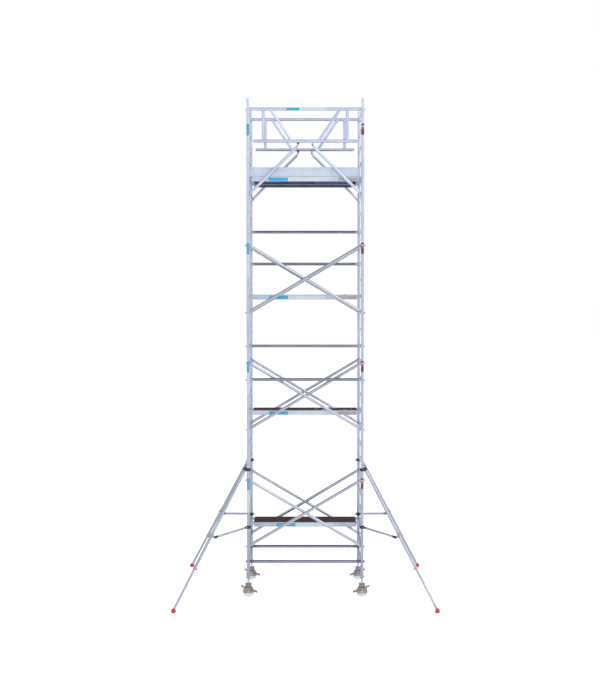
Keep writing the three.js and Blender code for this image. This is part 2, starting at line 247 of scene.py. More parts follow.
def piece(name, acc, mats, body, replaces=(), M=None, angle=34, mesh=None):
    if mesh is None:
        mesh = bpy.data.meshes.new(name)
        mesh.from_pydata(acc.v, [], acc.f)
        for m in mats:
            mesh.materials.append(m)
        mesh.polygons.foreach_set("material_index", acc.m)
        mesh.polygons.foreach_set("use_smooth", [True] * len(acc.f))
        mesh.validate()
        mesh.update()
        bm = bmesh.new()
        bm.from_mesh(mesh)
        bmesh.ops.recalc_face_normals(bm, faces=bm.faces)
        bm.to_mesh(mesh)
        bm.free()
        mesh.set_sharp_from_angle(angle=math.radians(angle))
    ob = bpy.data.objects.new(name, mesh)
    bpy.context.scene.collection.objects.link(ob)
    if M is not None:
        ob.matrix_world = M
    bpy.context.view_layer.update()
    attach(ob, body)
    if replaces:
        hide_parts(*replaces)
    PIECES.append(ob)
    return ob


def arc(cx, cz, r, a0, a1, n):
    return [(cx + r * math.cos(math.radians(a0 + (a1 - a0) * i / n)), cz + r * math.sin(math.radians(a0 + (a1 - a0) * i / n))) for i in range(n + 1)]


# ------------------------------------------------------------------ materials
def new_mat(name):
    m = bpy.data.materials.new(name)
    m.use_nodes = True
    nt = m.node_tree
    return m, nt, nt.nodes["Principled BSDF"]


def link(nt, a, b):
    nt.links.new(a, b)


def metal(name, color, rough=0.34, metallic=1.0, vary=0.10, grain=(1, 1, 60), scratches=0.5, bump=0.02, dirt=0.0, shade_by_height=None):
    """Extruded or drawn metal: drawn grain, blotchy gloss, fine scratches."""
    m, nt, p = new_mat(name)
    co = nt.nodes.new("ShaderNodeTexCoord")
    mp = nt.nodes.new("ShaderNodeMapping")
    mp.inputs["Scale"].default_value = grain
    link(nt, co.outputs["Object"], mp.inputs["Vector"])
    n1 = nt.nodes.new("ShaderNodeTexNoise")
    n1.inputs["Scale"].default_value = 24.0
    n1.inputs["Detail"].default_value = 6.0
    link(nt, mp.outputs["Vector"], n1.inputs["Vector"])
    n2 = nt.nodes.new("ShaderNodeTexNoise")
    n2.inputs["Scale"].default_value = 5.5
    n2.inputs["Detail"].default_value = 4.0
    link(nt, co.outputs["Object"], n2.inputs["Vector"])
    ramp = nt.nodes.new("ShaderNodeValToRGB")
    c = color
    ramp.color_ramp.elements[0].position = 0.25
    ramp.color_ramp.elements[0].color = (c[0] * (1 - vary), c[1] * (1 - vary), c[2] * (1 - vary * 0.8), 1)
    ramp.color_ramp.elements[1].position = 0.75
    ramp.color_ramp.elements[1].color = (min(1, c[0] * (1 + vary)), min(1, c[1] * (1 + vary)), min(1, c[2] * (1 + vary)), 1)
    link(nt, n2.outputs["Fac"], ramp.inputs["Fac"])
    col = ramp.outputs["Color"]
    if dirt:
        n3 = nt.nodes.new("ShaderNodeTexNoise")
        n3.inputs["Scale"].default_value = 38.0
        n3.inputs["Detail"].default_value = 8.0
        link(nt, co.outputs["Object"], n3.inputs["Vector"])
        r3 = nt.nodes.new("ShaderNodeValToRGB")
        r3.color_ramp.elements[0].position = 0.52
        r3.color_ramp.elements[0].color = (0, 0, 0, 1)
        r3.color_ramp.elements[1].position = 0.72
        r3.color_ramp.elements[1].color = (dirt, dirt, dirt, 1)
        link(nt, n3.outputs["Fac"], r3.inputs["Fac"])
        mix = nt.nodes.new("ShaderNodeMix")
        mix.data_type = "RGBA"
        link(nt, r3.outputs["Color"], mix.inputs[0])
        link(nt, col, mix.inputs[6])
        mix.inputs[7].default_value = (c[0] * 0.45, c[1] * 0.42, c[2] * 0.4, 1)
        col = mix.outputs[2]
    if shade_by_height:
        # painted shade by height, darker towards the bottom: list of (z in metres, factor)
        sp = nt.nodes.new("ShaderNodeSeparateXYZ")
        link(nt, co.outputs["Object"], sp.inputs["Vector"])
        mh = nt.nodes.new("ShaderNodeMapRange")
        mh.inputs["From Max"].default_value = 8.5
        link(nt, sp.outputs["Z"], mh.inputs["Value"])
        rh = nt.nodes.new("ShaderNodeValToRGB")
        link(nt, mh.outputs["Result"], rh.inputs["Fac"])
        els = rh.color_ramp.elements
        for i, (z, f) in enumerate(shade_by_height):
            el = els[i] if i < 2 else els.new(z / 8.5)
            el.position = z / 8.5
            el.color = (f, f, f, 1)
        mm = nt.nodes.new("ShaderNodeVectorMath")
        mm.operation = "MULTIPLY"
        link(nt, col, mm.inputs[0])
        link(nt, rh.outputs["Color"], mm.inputs[1])
        col = mm.outputs["Vector"]
    link(nt, col, p.inputs["Base Color"])
    rr = nt.nodes.new("ShaderNodeMapRange")
    rr.inputs["From Min"].default_value = 0.3
    rr.inputs["From Max"].default_value = 0.7
    rr.inputs["To Min"].default_value = max(0.05, rough - 0.07)
    rr.inputs["To Max"].default_value = rough + 0.09
    link(nt, n1.outputs["Fac"], rr.inputs["Value"])
    link(nt, rr.outputs["Result"], p.inputs["Roughness"])
    p.inputs["Metallic"].default_value = metallic
    bp = nt.nodes.new("ShaderNodeBump")
    bp.inputs["Strength"].default_value = scratches
    bp.inputs["Distance"].default_value = bump * 0.01
    link(nt, n1.outputs["Fac"], bp.inputs["Height"])
    link(nt, bp.outputs["Normal"], p.inputs["Normal"])
    return m


def plastic(name, color, rough=0.45, vary=0.12, grain=420.0, bump=0.35, sheen=0.0, coat=0.0):
    """Moulded plastic, rubber or paint: fine pebble grain with uneven gloss."""
    m, nt, p = new_mat(name)
    co = nt.nodes.new("ShaderNodeTexCoord")
    n1 = nt.nodes.new("ShaderNodeTexNoise")
    n1.inputs["Scale"].default_value = grain
    n1.inputs["Detail"].default_value = 3.0
    link(nt, co.outputs["Object"], n1.inputs["Vector"])
    n2 = nt.nodes.new("ShaderNodeTexNoise")
    n2.inputs["Scale"].default_value = 9.0
    n2.inputs["Detail"].default_value = 5.0
    link(nt, co.outputs["Object"], n2.inputs["Vector"])
    ramp = nt.nodes.new("ShaderNodeValToRGB")
    ramp.color_ramp.elements[0].position = 0.3
    ramp.color_ramp.elements[1].position = 0.7
    ramp.color_ramp.elements[0].color = tuple(x * (1 - vary) for x in color) + (1,)
    ramp.color_ramp.elements[1].color = tuple(min(1, x * (1 + vary) + 0.004) for x in color) + (1,)
    link(nt, n2.outputs["Fac"], ramp.inputs["Fac"])
    link(nt, ramp.outputs["Color"], p.inputs["Base Color"])
    rr = nt.nodes.new("ShaderNodeMapRange")
    rr.inputs["To Min"].default_value = max(0.04, rough - 0.1)
    rr.inputs["To Max"].default_value = min(1, rough + 0.14)
    link(nt, n2.outputs["Fac"], rr.inputs["Value"])
    link(nt, rr.outputs["Result"], p.inputs["Roughness"])
    bp = nt.nodes.new("ShaderNodeBump")
    bp.inputs["Strength"].default_value = bump
    bp.inputs["Distance"].default_value = 0.0003
    link(nt, n1.outputs["Fac"], bp.inputs["Height"])
    link(nt, bp.outputs["Normal"], p.inputs["Normal"])
    if coat:
        p.inputs["Coat Weight"].default_value = coat
    return m


def deck_film(name, color, pattern=True):
    """Film-faced plywood: pressed anti-slip mesh on top, scuffs and dust."""
    m, nt, p = new_mat(name)
    co = nt.nodes.new("ShaderNodeTexCoord")
    n2 = nt.nodes.new("ShaderNodeTexNoise")
    n2.inputs["Scale"].default_value = 3.2
    n2.inputs["Detail"].default_value = 8.0
    link(nt, co.outputs["Object"], n2.inputs["Vector"])
    ramp = nt.nodes.new("ShaderNodeValToRGB")
    ramp.color_ramp.elements[0].position = 0.3
    ramp.color_ramp.elements[1].position = 0.72
    ramp.color_ramp.elements[0].color = tuple(x * 0.82 for x in color) + (1,)
    ramp.color_ramp.elements[1].color = tuple(x * 1.22 for x in color) + (1,)
    link(nt, n2.outputs["Fac"], ramp.inputs["Fac"])
    vor = nt.nodes.new("ShaderNodeTexVoronoi")
    vor.feature = "DISTANCE_TO_EDGE"
    vor.inputs["Scale"].default_value = 150.0
    vor.inputs["Randomness"].default_value = 0.12
    link(nt, co.outputs["Object"], vor.inputs["Vector"])
    mr = nt.nodes.new("ShaderNodeMapRange")
    mr.inputs["From Min"].default_value = 0.02
    mr.inputs["From Max"].default_value = 0.12
    link(nt, vor.outputs["Distance"], mr.inputs["Value"])
    mix = nt.nodes.new("ShaderNodeMix")
    mix.data_type = "RGBA"
    link(nt, mr.outputs["Result"], mix.inputs[0])
    mix.inputs[6].default_value = tuple(x * 1.4 + 0.004 for x in color) + (1,)
    link(nt, ramp.outputs["Color"], mix.inputs[7])
    link(nt, mix.outputs[2] if pattern else ramp.outputs["Color"], p.inputs["Base Color"])
    rr = nt.nodes.new("ShaderNodeMapRange")
    rr.inputs["To Min"].default_value = 0.62
    rr.inputs["To Max"].default_value = 0.86
    link(nt, n2.outputs["Fac"], rr.inputs["Value"])
    link(nt, rr.outputs["Result"], p.inputs["Roughness"])
    bp = nt.nodes.new("ShaderNodeBump")
    bp.inputs["Strength"].default_value = 0.5 if pattern else 0.15
    bp.inputs["Distance"].default_value = 0.0006
    bp.invert = True
    p.inputs["Specular IOR Level"].default_value = 0.03
    link(nt, mr.outputs["Result"] if pattern else n2.outputs["Fac"], bp.inputs["Height"])
    link(nt, bp.outputs["Normal"], p.inputs["Normal"])
    return m


def ply_edge(name):
    """Side of plywood: thin light and dark veneers."""
    m, nt, p = new_mat(name)
    co = nt.nodes.new("ShaderNodeTexCoord")
    wv = nt.nodes.new("ShaderNodeTexWave")
    wv.wave_type = "BANDS"
    wv.bands_direction = "Z"
    wv.inputs["Scale"].default_value = 140.0
    wv.inputs["Distortion"].default_value = 1.2
    link(nt, co.outputs["Object"], wv.inputs["Vector"])
    ramp = nt.nodes.new("ShaderNodeValToRGB")
    ramp.color_ramp.elements[0].color = (0.16, 0.10, 0.06, 1)
    ramp.color_ramp.elements[1].color = (0.34, 0.24, 0.15, 1)
    link(nt, wv.outputs["Fac"], ramp.inputs["Fac"])
    link(nt, ramp.outputs["Color"], p.inputs["Base Color"])
    p.inputs["Roughness"].default_value = 0.75
    return m


# painted shade: posts and rungs darker towards the bottom, lighter towards the top
POST_SHADE_BY_HEIGHT = [(0.3, 0.48), (8.4, 0.87), (2.0, 0.64), (7.0, 0.80)]
POSTM = metal("post_aluminium", (0.645, 0.705, 0.845), rough=0.36, grain=(60, 60, 1.0), metallic=0.85, shade_by_height=POST_SHADE_BY_HEIGHT)
RUNGM = metal("rung_aluminium", (0.60, 0.64, 0.755), rough=0.38, grain=(60, 1.0, 60), metallic=0.85, shade_by_height=POST_SHADE_BY_HEIGHT)
BRACEM = metal("brace_tube", (0.42, 0.435, 0.485), rough=0.18, grain=(2, 60, 60), metallic=1.0)
RAILM = metal("rail_tube", (0.262, 0.276, 0.328), rough=0.28, grain=(1.0, 60, 60), metallic=1.0)
GUARDM = metal("guard_tube", (0.53, 0.58, 0.705), rough=0.36, grain=(1.0, 60, 60), metallic=0.85)
# painted shade: beams darker on the lower levels, by height
BEAMM = metal("beam_extrusion", (0.60, 0.67, 0.81), rough=0.40, grain=(1.0, 50, 50), metallic=0.8, shade_by_height=[(1.2, 0.74), (7.0, 0.90), (2.9, 0.88), (5.5, 0.83)])
TOEM = metal("toe_board_sheet", (0.52, 0.58, 0.665), rough=0.46, grain=(1.0, 40, 40), metallic=0.55)
STABM = metal("stabiliser_tube", (0.42, 0.44, 0.49), rough=0.30, grain=(40, 40, 40), metallic=1.0)
# painted shade: darker copy of the stabiliser tube material for the far stabilisers
STAB_FAR_SHADE_M = metal("stabiliser_tube_far_painted_shade", (0.32, 0.34, 0.38), rough=0.32, grain=(40, 40, 40), metallic=1.0)
WELDM = metal("weld_bead", (0.46, 0.48, 0.54), rough=0.42, grain=(30, 30, 30), metallic=1.0, vary=0.2, bump=0.06)
CASTM = metal("cast_coupler", (0.46, 0.49, 0.58), rough=0.5, grain=(8, 8, 8), metallic=0.75, bump=0.06, dirt=0.5)
LATCHM = metal("latch_grey", (0.36, 0.38, 0.45), rough=0.42, grain=(8, 8, 8), metallic=0.8, dirt=0.3)
CLAWM = metal("cast_claw", (0.15, 0.16, 0.20), rough=0.45, grain=(8, 8, 8), metallic=0.7, bump=0.06, dirt=0.4)
# painted shade: dark colour for the inner and downward faces of the beams
INNERM = metal("beam_inside", (0.15, 0.17, 0.25), rough=0.6, grain=(1.0, 50, 50), metallic=0.3)
HOOKM = metal("cast_hook", (0.55, 0.58, 0.66), rough=0.46, grain=(8, 8, 8), metallic=0.85, bump=0.05, dirt=0.25)
ZINCM = metal("zinc_steel", (0.56, 0.57, 0.60), rough=0.30, grain=(12, 12, 12), metallic=1.0, dirt=0.2)
FORKM = metal("castor_steel", (0.275, 0.262, 0.235), rough=0.46, grain=(8, 8, 8), metallic=0.35, dirt=0.3, bump=0.04)
FORKDK = metal("castor_race", (0.11, 0.105, 0.10), rough=0.42, grain=(8, 8, 8), metallic=0.6, dirt=0.3)
LEVERM = plastic("lever_coating", (0.25, 0.28, 0.225), rough=0.5)
PEDALM = plastic("pedal_coating", (0.20, 0.090, 0.085), rough=0.5)
BLACKM = plastic("black_plastic", (0.018, 0.018, 0.02), rough=0.42)
TYREM = plastic("pale_wheel", (0.76, 0.76, 0.74), rough=0.5, vary=0.05, grain=260.0)
HUBM = plastic("wheel_hub", (0.62, 0.62, 0.6), rough=0.45, vary=0.06, grain=260.0)
REDM = plastic("red_rubber", (0.56, 0.022, 0.035), rough=0.55, vary=0.14, grain=320.0)
DECKM = deck_film("deck_film", (0.060, 0.026, 0.019))
# painted shade: dark slate colour for the undersides of the decks and the cross members, standing in for the shade
# under the deck
UNDERM = deck_film("deck_underside", (0.044, 0.052, 0.090), pattern=False)
PLYM = ply_edge("ply_edge")
CYANM = plastic("band_cyan", (0.008, 0.33, 0.54), rough=0.3, vary=0.06, grain=60.0, bump=0.05, coat=0.4)
PALEM = plastic("band_pale", (0.52, 0.62, 0.65), rough=0.32, vary=0.05, grain=60.0, bump=0.05, coat=0.4)
SKYM = plastic("band_sky", (0.07, 0.31, 0.43), rough=0.32, vary=0.06, grain=60.0, bump=0.05, coat=0.4)
TICKM = plastic("band_tick", (0.42, 0.46, 0.52), rough=0.32, vary=0.06, grain=60.0, bump=0.05, coat=0.4)
TEALM = plastic("band_teal", (0.22, 0.42, 0.42), rough=0.32, vary=0.06, grain=60.0, bump=0.05, coat=0.4)
NOTEM = plastic("band_grey", (0.36, 0.35, 0.32), rough=0.35, vary=0.1, grain=60.0, bump=0.05, coat=0.3)
WARNM = plastic("band_red", (0.15, 0.020, 0.018), rough=0.32, vary=0.06, grain=60.0, bump=0.05, coat=0.3)
AMBERM = plastic("band_amber", (0.36, 0.12, 0.008), rough=0.32, vary=0.06, grain=60.0, bump=0.05, coat=0.3)
DARKM = plastic("band_dark", (0.08, 0.035, 0.04), rough=0.35, vary=0.1, grain=60.0, bump=0.05, coat=0.3)


# ------------------------------------------------------------------ shared shapes
def band(acc, r, z0, z1, a0, a1, mat, M=None, t=0.00045, n=10):
    """Thin adhesive band on a round tube standing along Z."""
    rings = []
    for i in range(n + 1):
        a = math.radians(a0 + (a1 - a0) * i / n)
        c, s = math.cos(a), math.sin(a)
        rings.append([(r * c, r * s, z0), (r * c, r * s, z1), ((r + t) * c, (r + t) * s, z1), ((r + t) * c, (r + t) * s, z0)])
    acc.rings(rings, mat, M)


def hook_outline(nose):
    return ([(-0.030, -0.014), (-0.0197, -0.014)] + arc(0, 0, 0.0197, 180, 0, 12) +
            [(0.0197, -0.013), (nose - 0.004, -0.013), (nose, -0.009), (nose, 0.006), (nose - 0.005, 0.012), (nose - 0.013, 0.0150)] +
            arc(0.006, 0.006, 0.0255, 22, 90, 5) + [(-0.014, 0.0315), (-0.026, 0.027), (-0.031, 0.018)])


def coupler(acc, M, ang, r, off=0.0, mats=(0, 1, 2), nose=0.0525):
    """Cast hook coupler on a rung at the origin; local +X points away from the tube it ends.
    mats: cast body, latch, fixings."""
    cast, latch, fix = mats
    acc.slab(hook_outline(nose), -0.017, 0.017, cast, M, 0.0022)
    # raised rim along the flanks
    rim = arc(0, 0, 0.0225, 175, 5, 10) + arc(0, 0, 0.0275, 5, 175, 10)
    acc.slab(rim, -0.0185, -0.0165, cast, M, 0.0007)
    acc.slab(rim, 0.0165, 0.0185, cast, M, 0.0007)
    d = Vector((-math.cos(ang), 0, math.sin(ang)))
    o = Vector((0, 0, off))
    # web from hook to socket
    n = Vector((-d.z, 0, d.x))
    w = [o + d * 0.022 + n * 0.014, o + d * 0.060 + n * 0.018, o + d * 0.060 - n * 0.018, o + d * 0.022 - n * 0.014]
    acc.slab([(p.x, p.z) for p in w], -0.010, 0.010, cast, M, 0.002)
    s = r + 0.0010
    lo = 0.0225 - off * d.z
    acc.tube([o + d * t for t in (lo, lo + 0.003, 0.060, 0.0615)], s, 32, cast, M, radii=[s - 0.0035, s, s, s - 0.0012])
    for t in (0.038, 0.052):
        for sgn in (-1, 1):
            c = o + d * t
            acc.dome(0.0042, 0.0022, M @ T((c.x, sgn * (s - 0.0006), c.z)) @ RX(-sgn * math.pi / 2), fix, 10)
    # sprung latch closing under the rung, with its pivot and trigger
    tongue = arc(0, 0, 0.0203, -8, -112, 10) + arc(0, 0, 0.0262, -112, -30, 8) + [(0.034, -0.020), (0.038, -0.010)]
    acc.slab(tongue, -0.009, 0.009, latch, M, 0.0012)
    acc.lathe([(0, -0.0195), (0.0052, -0.0195), (0.006, -0.0185), (0.006, 0.0185), (0.0052, 0.0195), (0, 0.0195)], 16, fix,
              M @ T((0.0335, 0, -0.004)) @ RX(math.pi / 2))
    acc.lathe([(0, 0), (0.0085, 0), (0.0085, 0.004), (0.0070, 0.0055), (0.0070, 0.0070), (0, 0.0078)], 16, latch,
              M @ T((nose - 0.0075, 0, -0.002)) @ RY(math.pi / 2))


def bar_on_rail(acc, at, to_bar, rail_dir, r, R, mat):
    """Weld bead where a bar reaches a rail: to_bar points from the rail towards the bar."""
    z = Vector(rail_dir).normalized()
    y = -Vector(to_bar).normalized()
    y = (y - z * y.dot(z)).normalized()
    x = y.cross(z)
    M = Matrix(((x.x, y.x, z.x, at[0]), (x.y, y.y, z.y, at[1]), (x.z, y.z, z.z, at[2]), (0, 0, 0, 1)))
    acc.saddle(r, R, M, 0.0030, mat)


def half_coupler(acc, M, r_in, half, mats, ears=1.0):
    """Bolted clamp band round a tube along local Z; the ears point along +X. mats: body, bolt."""
    body, bolt = mats
    t = 0.0085
    prof = [(r_in, -half), (r_in + t * 0.7, -half), (r_in + t, -half + 0.004), (r_in + t, -half * 0.45), (r_in + t + 0.0022, -half * 0.35),
            (r_in + t + 0.0022, half * 0.35), (r_in + t, half * 0.45), (r_in + t, half - 0.004), (r_in + t * 0.7, half), (r_in, half)]
    acc.lathe(prof, 32, body, M, close=True)
    if ears:
        x0 = r_in + t - 0.003
        for s in (-1, 1):
            acc.box(x0, x0 + 0.022, min(s * 0.0025, s * 0.0095), max(s * 0.0025, s * 0.0095), -half * 0.72, half * 0.72, body, M, 0.002)
        B = M @ T((x0 + 0.012, 0, 0)) @ RX(math.pi / 2)
        acc.lathe([(0, -0.018), (0.0046, -0.018), (0.0046, 0.012), (0, 0.012)], 14, bolt, B)
        acc.bolt(0.0082, 0.0075, B @ T((0, 0, 0.0095)), bolt)
        acc.bolt(0.0082, 0.0075, B @ RX(math.pi) @ T((0, 0, 0.0095)), bolt)


# ------------------------------------------------------------------ ladder frames
TOPZ = SEC - 0.0003
MATS_F = [POSTM, RUNGM, WELDM, ZINCM, SKYM, PALEM, AMBERM, WARNM, DARKM, BLACKM, TICKM]


def ladder(acc, side, level):
    x, z0 = side * PX, BASE + SEC * level
    for s in (-1, 1):
        P = T((x, s * PY, z0))
        acc.lathe([(0.023, 0.0015), (0.0236, 0), (0.0249, 0), (POST_R, 0.0008), (POST_R, TOPZ - 0.0008), (0.0249, TOPZ),
                   (0.0222, TOPZ), (0.0222, TOPZ + 0.150), (0.0208, TOPZ + 0.158), (0.0200, TOPZ + SPIG), (0.0192, TOPZ + SPIG), (0.019, TOPZ + 0.157),
                   (0.019, TOPZ - 0.020), (0.023, TOPZ - 0.026)], 36, 0, P, close=True)
        # crimp rings that hold the spigot
        for zz in (TOPZ - 0.085, TOPZ - 0.035):
            acc.torus(POST_R - 0.0012, 0.0018, P @ T((0, 0, zz)), 0, 36, 6)
        if level == 3:
            for a in (0, math.pi):
                acc.torus(0.0052, 0.0009, P @ T((0, 0, TOPZ + 0.11)) @ RZ(a) @ T((0, 0.0220, 0)) @ RX(math.pi / 2), 3, 16, 5)
                acc.lathe([(0, 0), (0.0046, 0), (0.0046, 0.0004), (0, 0.0004)], 16, 9, P @ T((0, 0, TOPZ + 0.11)) @ RZ(a) @ T((0, 0.0220, 0)) @ RX(-math.pi / 2))
        if level == 0:
            acc.lathe([(POST_R - 0.0004, 0.0006), (0.0279, 0.0006), (0.0285, 0.0018), (0.0285, 0.052), (0.0275, 0.054), (POST_R - 0.0004, 0.056)], 36, 0, P, close=True)
            # screw with a wing handle that locks the castor spindle
            W = P @ T((0, 0, 0.034)) @ (RY(math.pi / 2) if side > 0 else RY(-math.pi / 2))
            acc.bolt(0.0105, 0.010, W @ T((0, 0, 0.0265)), 3)
            acc.lathe([(0, 0.030), (0.0052, 0.030), (0.0052, 0.0400), (0, 0.0400)], 16, 3, W)
            wing = arc(0, 0, 0.0072, 62, 118, 4) + arc(-0.0115, 0.0055, 0.0058, 100, 260, 6) + arc(0, 0, 0.0072, 242, 298, 4) + arc(0.0115, 0.0055, 0.0058, -80, 80, 6)
            acc.slab([(px * 1.15, pz * 1.15) for px, pz in wing], -0.0035, 0.0035, 3, W @ T((0, 0, 0.0415)) @ RX(math.pi / 2) @ RX(0), 0.001)
        else:
            # locking pin with its wire clip
            Q = P @ T((0, 0, 0.140)) @ (RZ(0) if s > 0 else RZ(math.pi))
            acc.lathe([(0, 0.021), (0.0062, 0.021), (0.0062, 0.0290), (0.0082, 0.0300), (0.0082, 0.0325), (0.0068, 0.0338), (0, 0.0342)], 16, 3, Q @ RX(-math.pi / 2))
            wire = [(0, 0.0305, 0.006), (0, 0.0305, -0.004), (0.001, 0.0300, -0.015), (0.006, 0.0285, -0.024)]
            wire += [(0.0275 * math.cos(math.radians(a)), 0.0275 * math.sin(math.radians(a)), -0.027 - 0.00002 * (80 - a)) for a in range(70, -171, -20)]
            acc.tube(wire, 0.0016, 8, 3, Q)
    for k in range(7):
        z = FIRST + PITCH * k
        acc.tube([(x, -PY + 0.0232, z0 + z), (x, PY - 0.0232, z0 + z)], RUNG_R, 40, 1, None, flute=0.0007)
        acc.saddle(RUNG_R, POST_R, T((x, PY, z0 + z)), 0.0030, 2)
        acc.saddle(RUNG_R, POST_R, T((x, -PY, z0 + z)) @ RZ(math.pi), 0.0030, 2)
    # plain coloured bands on the near posts
    P = T((x, -PY, z0))
    if side < 0:
        band(acc, POST_R, SEC - 0.460, SEC - 0.268, 205, 335, 4, P)
        band(acc, POST_R, SEC - 0.830, SEC - 0.470, 215, 325, 5, P)
        for i in range(8):
            band(acc, POST_R + 0.0004, SEC - 0.818 + 0.044 * i, SEC - 0.802 + 0.044 * i, 240, 300, 10, P, 0.0003)
    else:
        band(acc, POST_R, SEC - 0.298, SEC - 0.265, 195, 345, 8, P)
        band(acc, POST_R, SEC - 0.313, SEC - 0.298, 195, 345, 5, P)
        band(acc, POST_R, SEC - 0.357, SEC - 0.313, 195, 345, 6, P)
        band(acc, POST_R, SEC - 0.448, SEC - 0.357, 195, 345, 7, P)


SPIG = 0.160
for sname, side in (("left", -1), ("right", 1)):
    for i in range(4):
        a = Acc()
        ladder(a, side, i)
        piece(f"ladder_frame_{sname}_{i + 1}", a, MATS_F, "tower", [f"frame_{sname}_{i + 1}"])

# ------------------------------------------------------------------ crossed braces
MATS_B = [CASTM, LATCHM, ZINCM, BRACEM, TEALM, PALEM]
BOW = 0.0259
for sname, s in (("near", -1), ("far", 1)):
    for i in range(3):
        crossed = (s < 0 and i == 1) or (s > 0 and i == 2)
        y, zc = s * (BRACE_IN if crossed else SIDE_Y), rung_z(i, 4)
        dx, dz = PX, 2 * PITCH
        L = math.hypot(dx, dz)
        front = i != 1
        node = f"cross_brace_{sname}_{i + 1}"
        for slash in (1, -1):
            bow = -BOW if (slash > 0) == front else BOW
            a = Acc()
            path = []
            for k in range(45):
                u = -1 + 2 * k / 44
                v = u * (1 - 0.034 / L)
                path.append((v * dx, y + bow * math.exp(-(u * L / 0.26) ** 2), zc + TUBE_UP + v * slash * dz))
            a.tube(path, TUBE_R, 32, 3)
            for e in (-1, 1):
                up = e * slash
                M = T((e * dx, y, zc + up * dz)) @ (FLIPX if e < 0 else Matrix.Identity(4))
                coupler(a, M, -up * math.atan2(dz, dx), TUBE_R, TUBE_UP)
            name = f"brace_{sname}_{i + 1}_{'rising' if slash > 0 else 'falling'}"
            piece(name, a, MATS_B, "tower", [node])

# ------------------------------------------------------------------ straight rails
MATS_R = [CASTM, LATCHM, ZINCM, RAILM, CYANM, PALEM]


def rail(acc, y, z, off, r, mat, nose=0.0525, mats=(0, 1, 2)):
    acc.tube([(-0.910, y, z + off), (0.910, y, z + off)], r, 36, mat)
    for e in (-1, 1):
        coupler(acc, T((e * PX, y, z)) @ (FLIPX if e < 0 else Matrix.Identity(4)), 0.0, r, off, mats, nose)


def claw(acc, e, s):
    """Cast claw that snaps round a post at the end of a base rail; it opens away from the tower."""
    M = T((e * PX, s * PY, BASE_RAIL_Z)) @ (FLIPX if e < 0 else Matrix.Identity(4)) @ RX(math.pi / 2)
    def ring(r, a0, a1, n=18):
        return [(r * math.cos(math.radians(a0 + (a1 - a0) * i / n)), s * r * math.sin(math.radians(a0 + (a1 - a0) * i / n))) for i in range(n + 1)]
    acc.slab(ring(0.0365, -14, 194) + ring(0.0269, 194, -14), -0.0165, 0.0165, 0, M, 0.0016)
    for lo, hi in ((-0.0170, -0.0110), (0.0110, 0.0170)):
        acc.slab(ring(0.0375, -6, 186) + ring(0.0360, 186, -6), lo, hi, 0, M, 0.0006)
    # release nub outside the post, sprung pawl over the mouth
    acc.slab([(0.0350, -0.0085), (0.0450, -0.0085), (0.0480, -0.0050), (0.0480, 0.0050), (0.0450, 0.0085), (0.0350, 0.0085)], -0.0148, 0.0148, 0, M, 0.0020)
    acc.slab([(-0.0372, s * -0.0040), (-0.0300, s * -0.0185), (-0.0262, s * -0.0185), (-0.0272, s * -0.0080), (-0.0290, s * -0.0040)], -0.0085, 0.0085, 1, M, 0.0010)
    Q = T((e * PX, s * PY, BASE_RAIL_Z)) @ (FLIPX if e < 0 else Matrix.Identity(4))
    acc.tube([(-0.0310, 0, 0), (-0.0335, 0, 0), (-0.0840, 0, 0), (-0.0860, 0, 0)], TUBE_R, 36, 0, Q, radii=[0.0215, 0.0266, 0.0266, 0.0250])
    for x in (-0.050, -0.068):
        for sg in (-1, 1):
            acc.dome(0.0042, 0.0020, Q @ T((x, sg * 0.0262, 0)) @ RX(-sg * math.pi / 2), 2, 10)


for sname, s in (("near", -1), ("far", 1)):
    a = Acc()
    a.tube([(-0.905, s * PY, BASE_RAIL_Z), (0.905, s * PY, BASE_RAIL_Z)], TUBE_R, 36, 3)
    for e in (-1, 1):
        claw(a, e, s)
    piece(f"base_rail_{sname}_tube", a, [CLAWM, LATCHM, ZINCM, RAILM], "tower", [f"base_rail_{sname}"])

for name, s, level, rung in (("guard_rail_near_low", -1, 1, 5), ("guard_rail_near_high", -1, 1, 7),
                             ("guard_rail_far_low", 1, 2, 5), ("guard_rail_far_high", 1, 2, 7)):
    a = Acc()
    rail(a, s * SIDE_Y, rung_z(level, rung), TUBE_UP, TUBE_R, 3)
    piece(name + "_tube", a, MATS_R, "tower", [name])

# ------------------------------------------------------------------ platforms
HX, HY = 0.885, 0.28175
MATS_P = [BEAMM, HOOKM, ZINCM, DECKM, UNDERM, PLYM, CYANM, PALEM, NOTEM, LATCHM, TOEM, INNERM]


def board(acc, x0, x1, y0, y1, z0, z1, M, top=3, low=4, edge=5):
    v = [(x0, y0, z0), (x1, y0, z0), (x1, y1, z0), (x0, y1, z0), (x0, y0, z1), (x1, y0, z1), (x1, y1, z1), (x0, y1, z1)]
    acc.put(v, [(4, 5, 6, 7)], top, M)
    acc.put(v, [(3, 2, 1, 0)], low, M)
    acc.put(v, [(0, 1, 5, 4), (1, 2, 6, 5), (2, 3, 7, 6), (3, 0, 4, 7)], edge, M)


BEAM = [(HY - 0.0020, -0.054), (HY, -0.052), (HY, -0.041), (HY - 0.0028, -0.0385), (HY - 0.0028, -0.0205), (HY, -0.018),
        (HY, 0.003), (HY - 0.0024, 0.0052), (HY - 0.0024, 0.0150), (HY, 0.0172), (HY, 0.0245), (HY - 0.0015, 0.026),
        (HY - 0.0130, 0.026), (HY - 0.0142, 0.0250), (HY - 0.0142, 0.0112), (HY - 0.0300, 0.0112), (HY - 0.0300, 0.0070), (HY - 0.0080, 0.0050),
        (HY - 0.0080, -0.0480), (HY - 0.0280, -0.0500), (HY - 0.0280, -0.054)]
PHOOK = ([(-0.080, -0.026), (-0.0197, -0.026)] + arc(0, 0, 0.0197, 180, 0, 12) +
         [(0.0197, -0.016), (0.0290, -0.016), (0.0310, -0.013), (0.0310, 0.008)] + arc(0.004, 0.006, 0.0265, 10, 85, 6) +
         [(-0.012, 0.0315), (-0.040, 0.0290), (-0.066, 0.0262), (-0.080, 0.0240)])


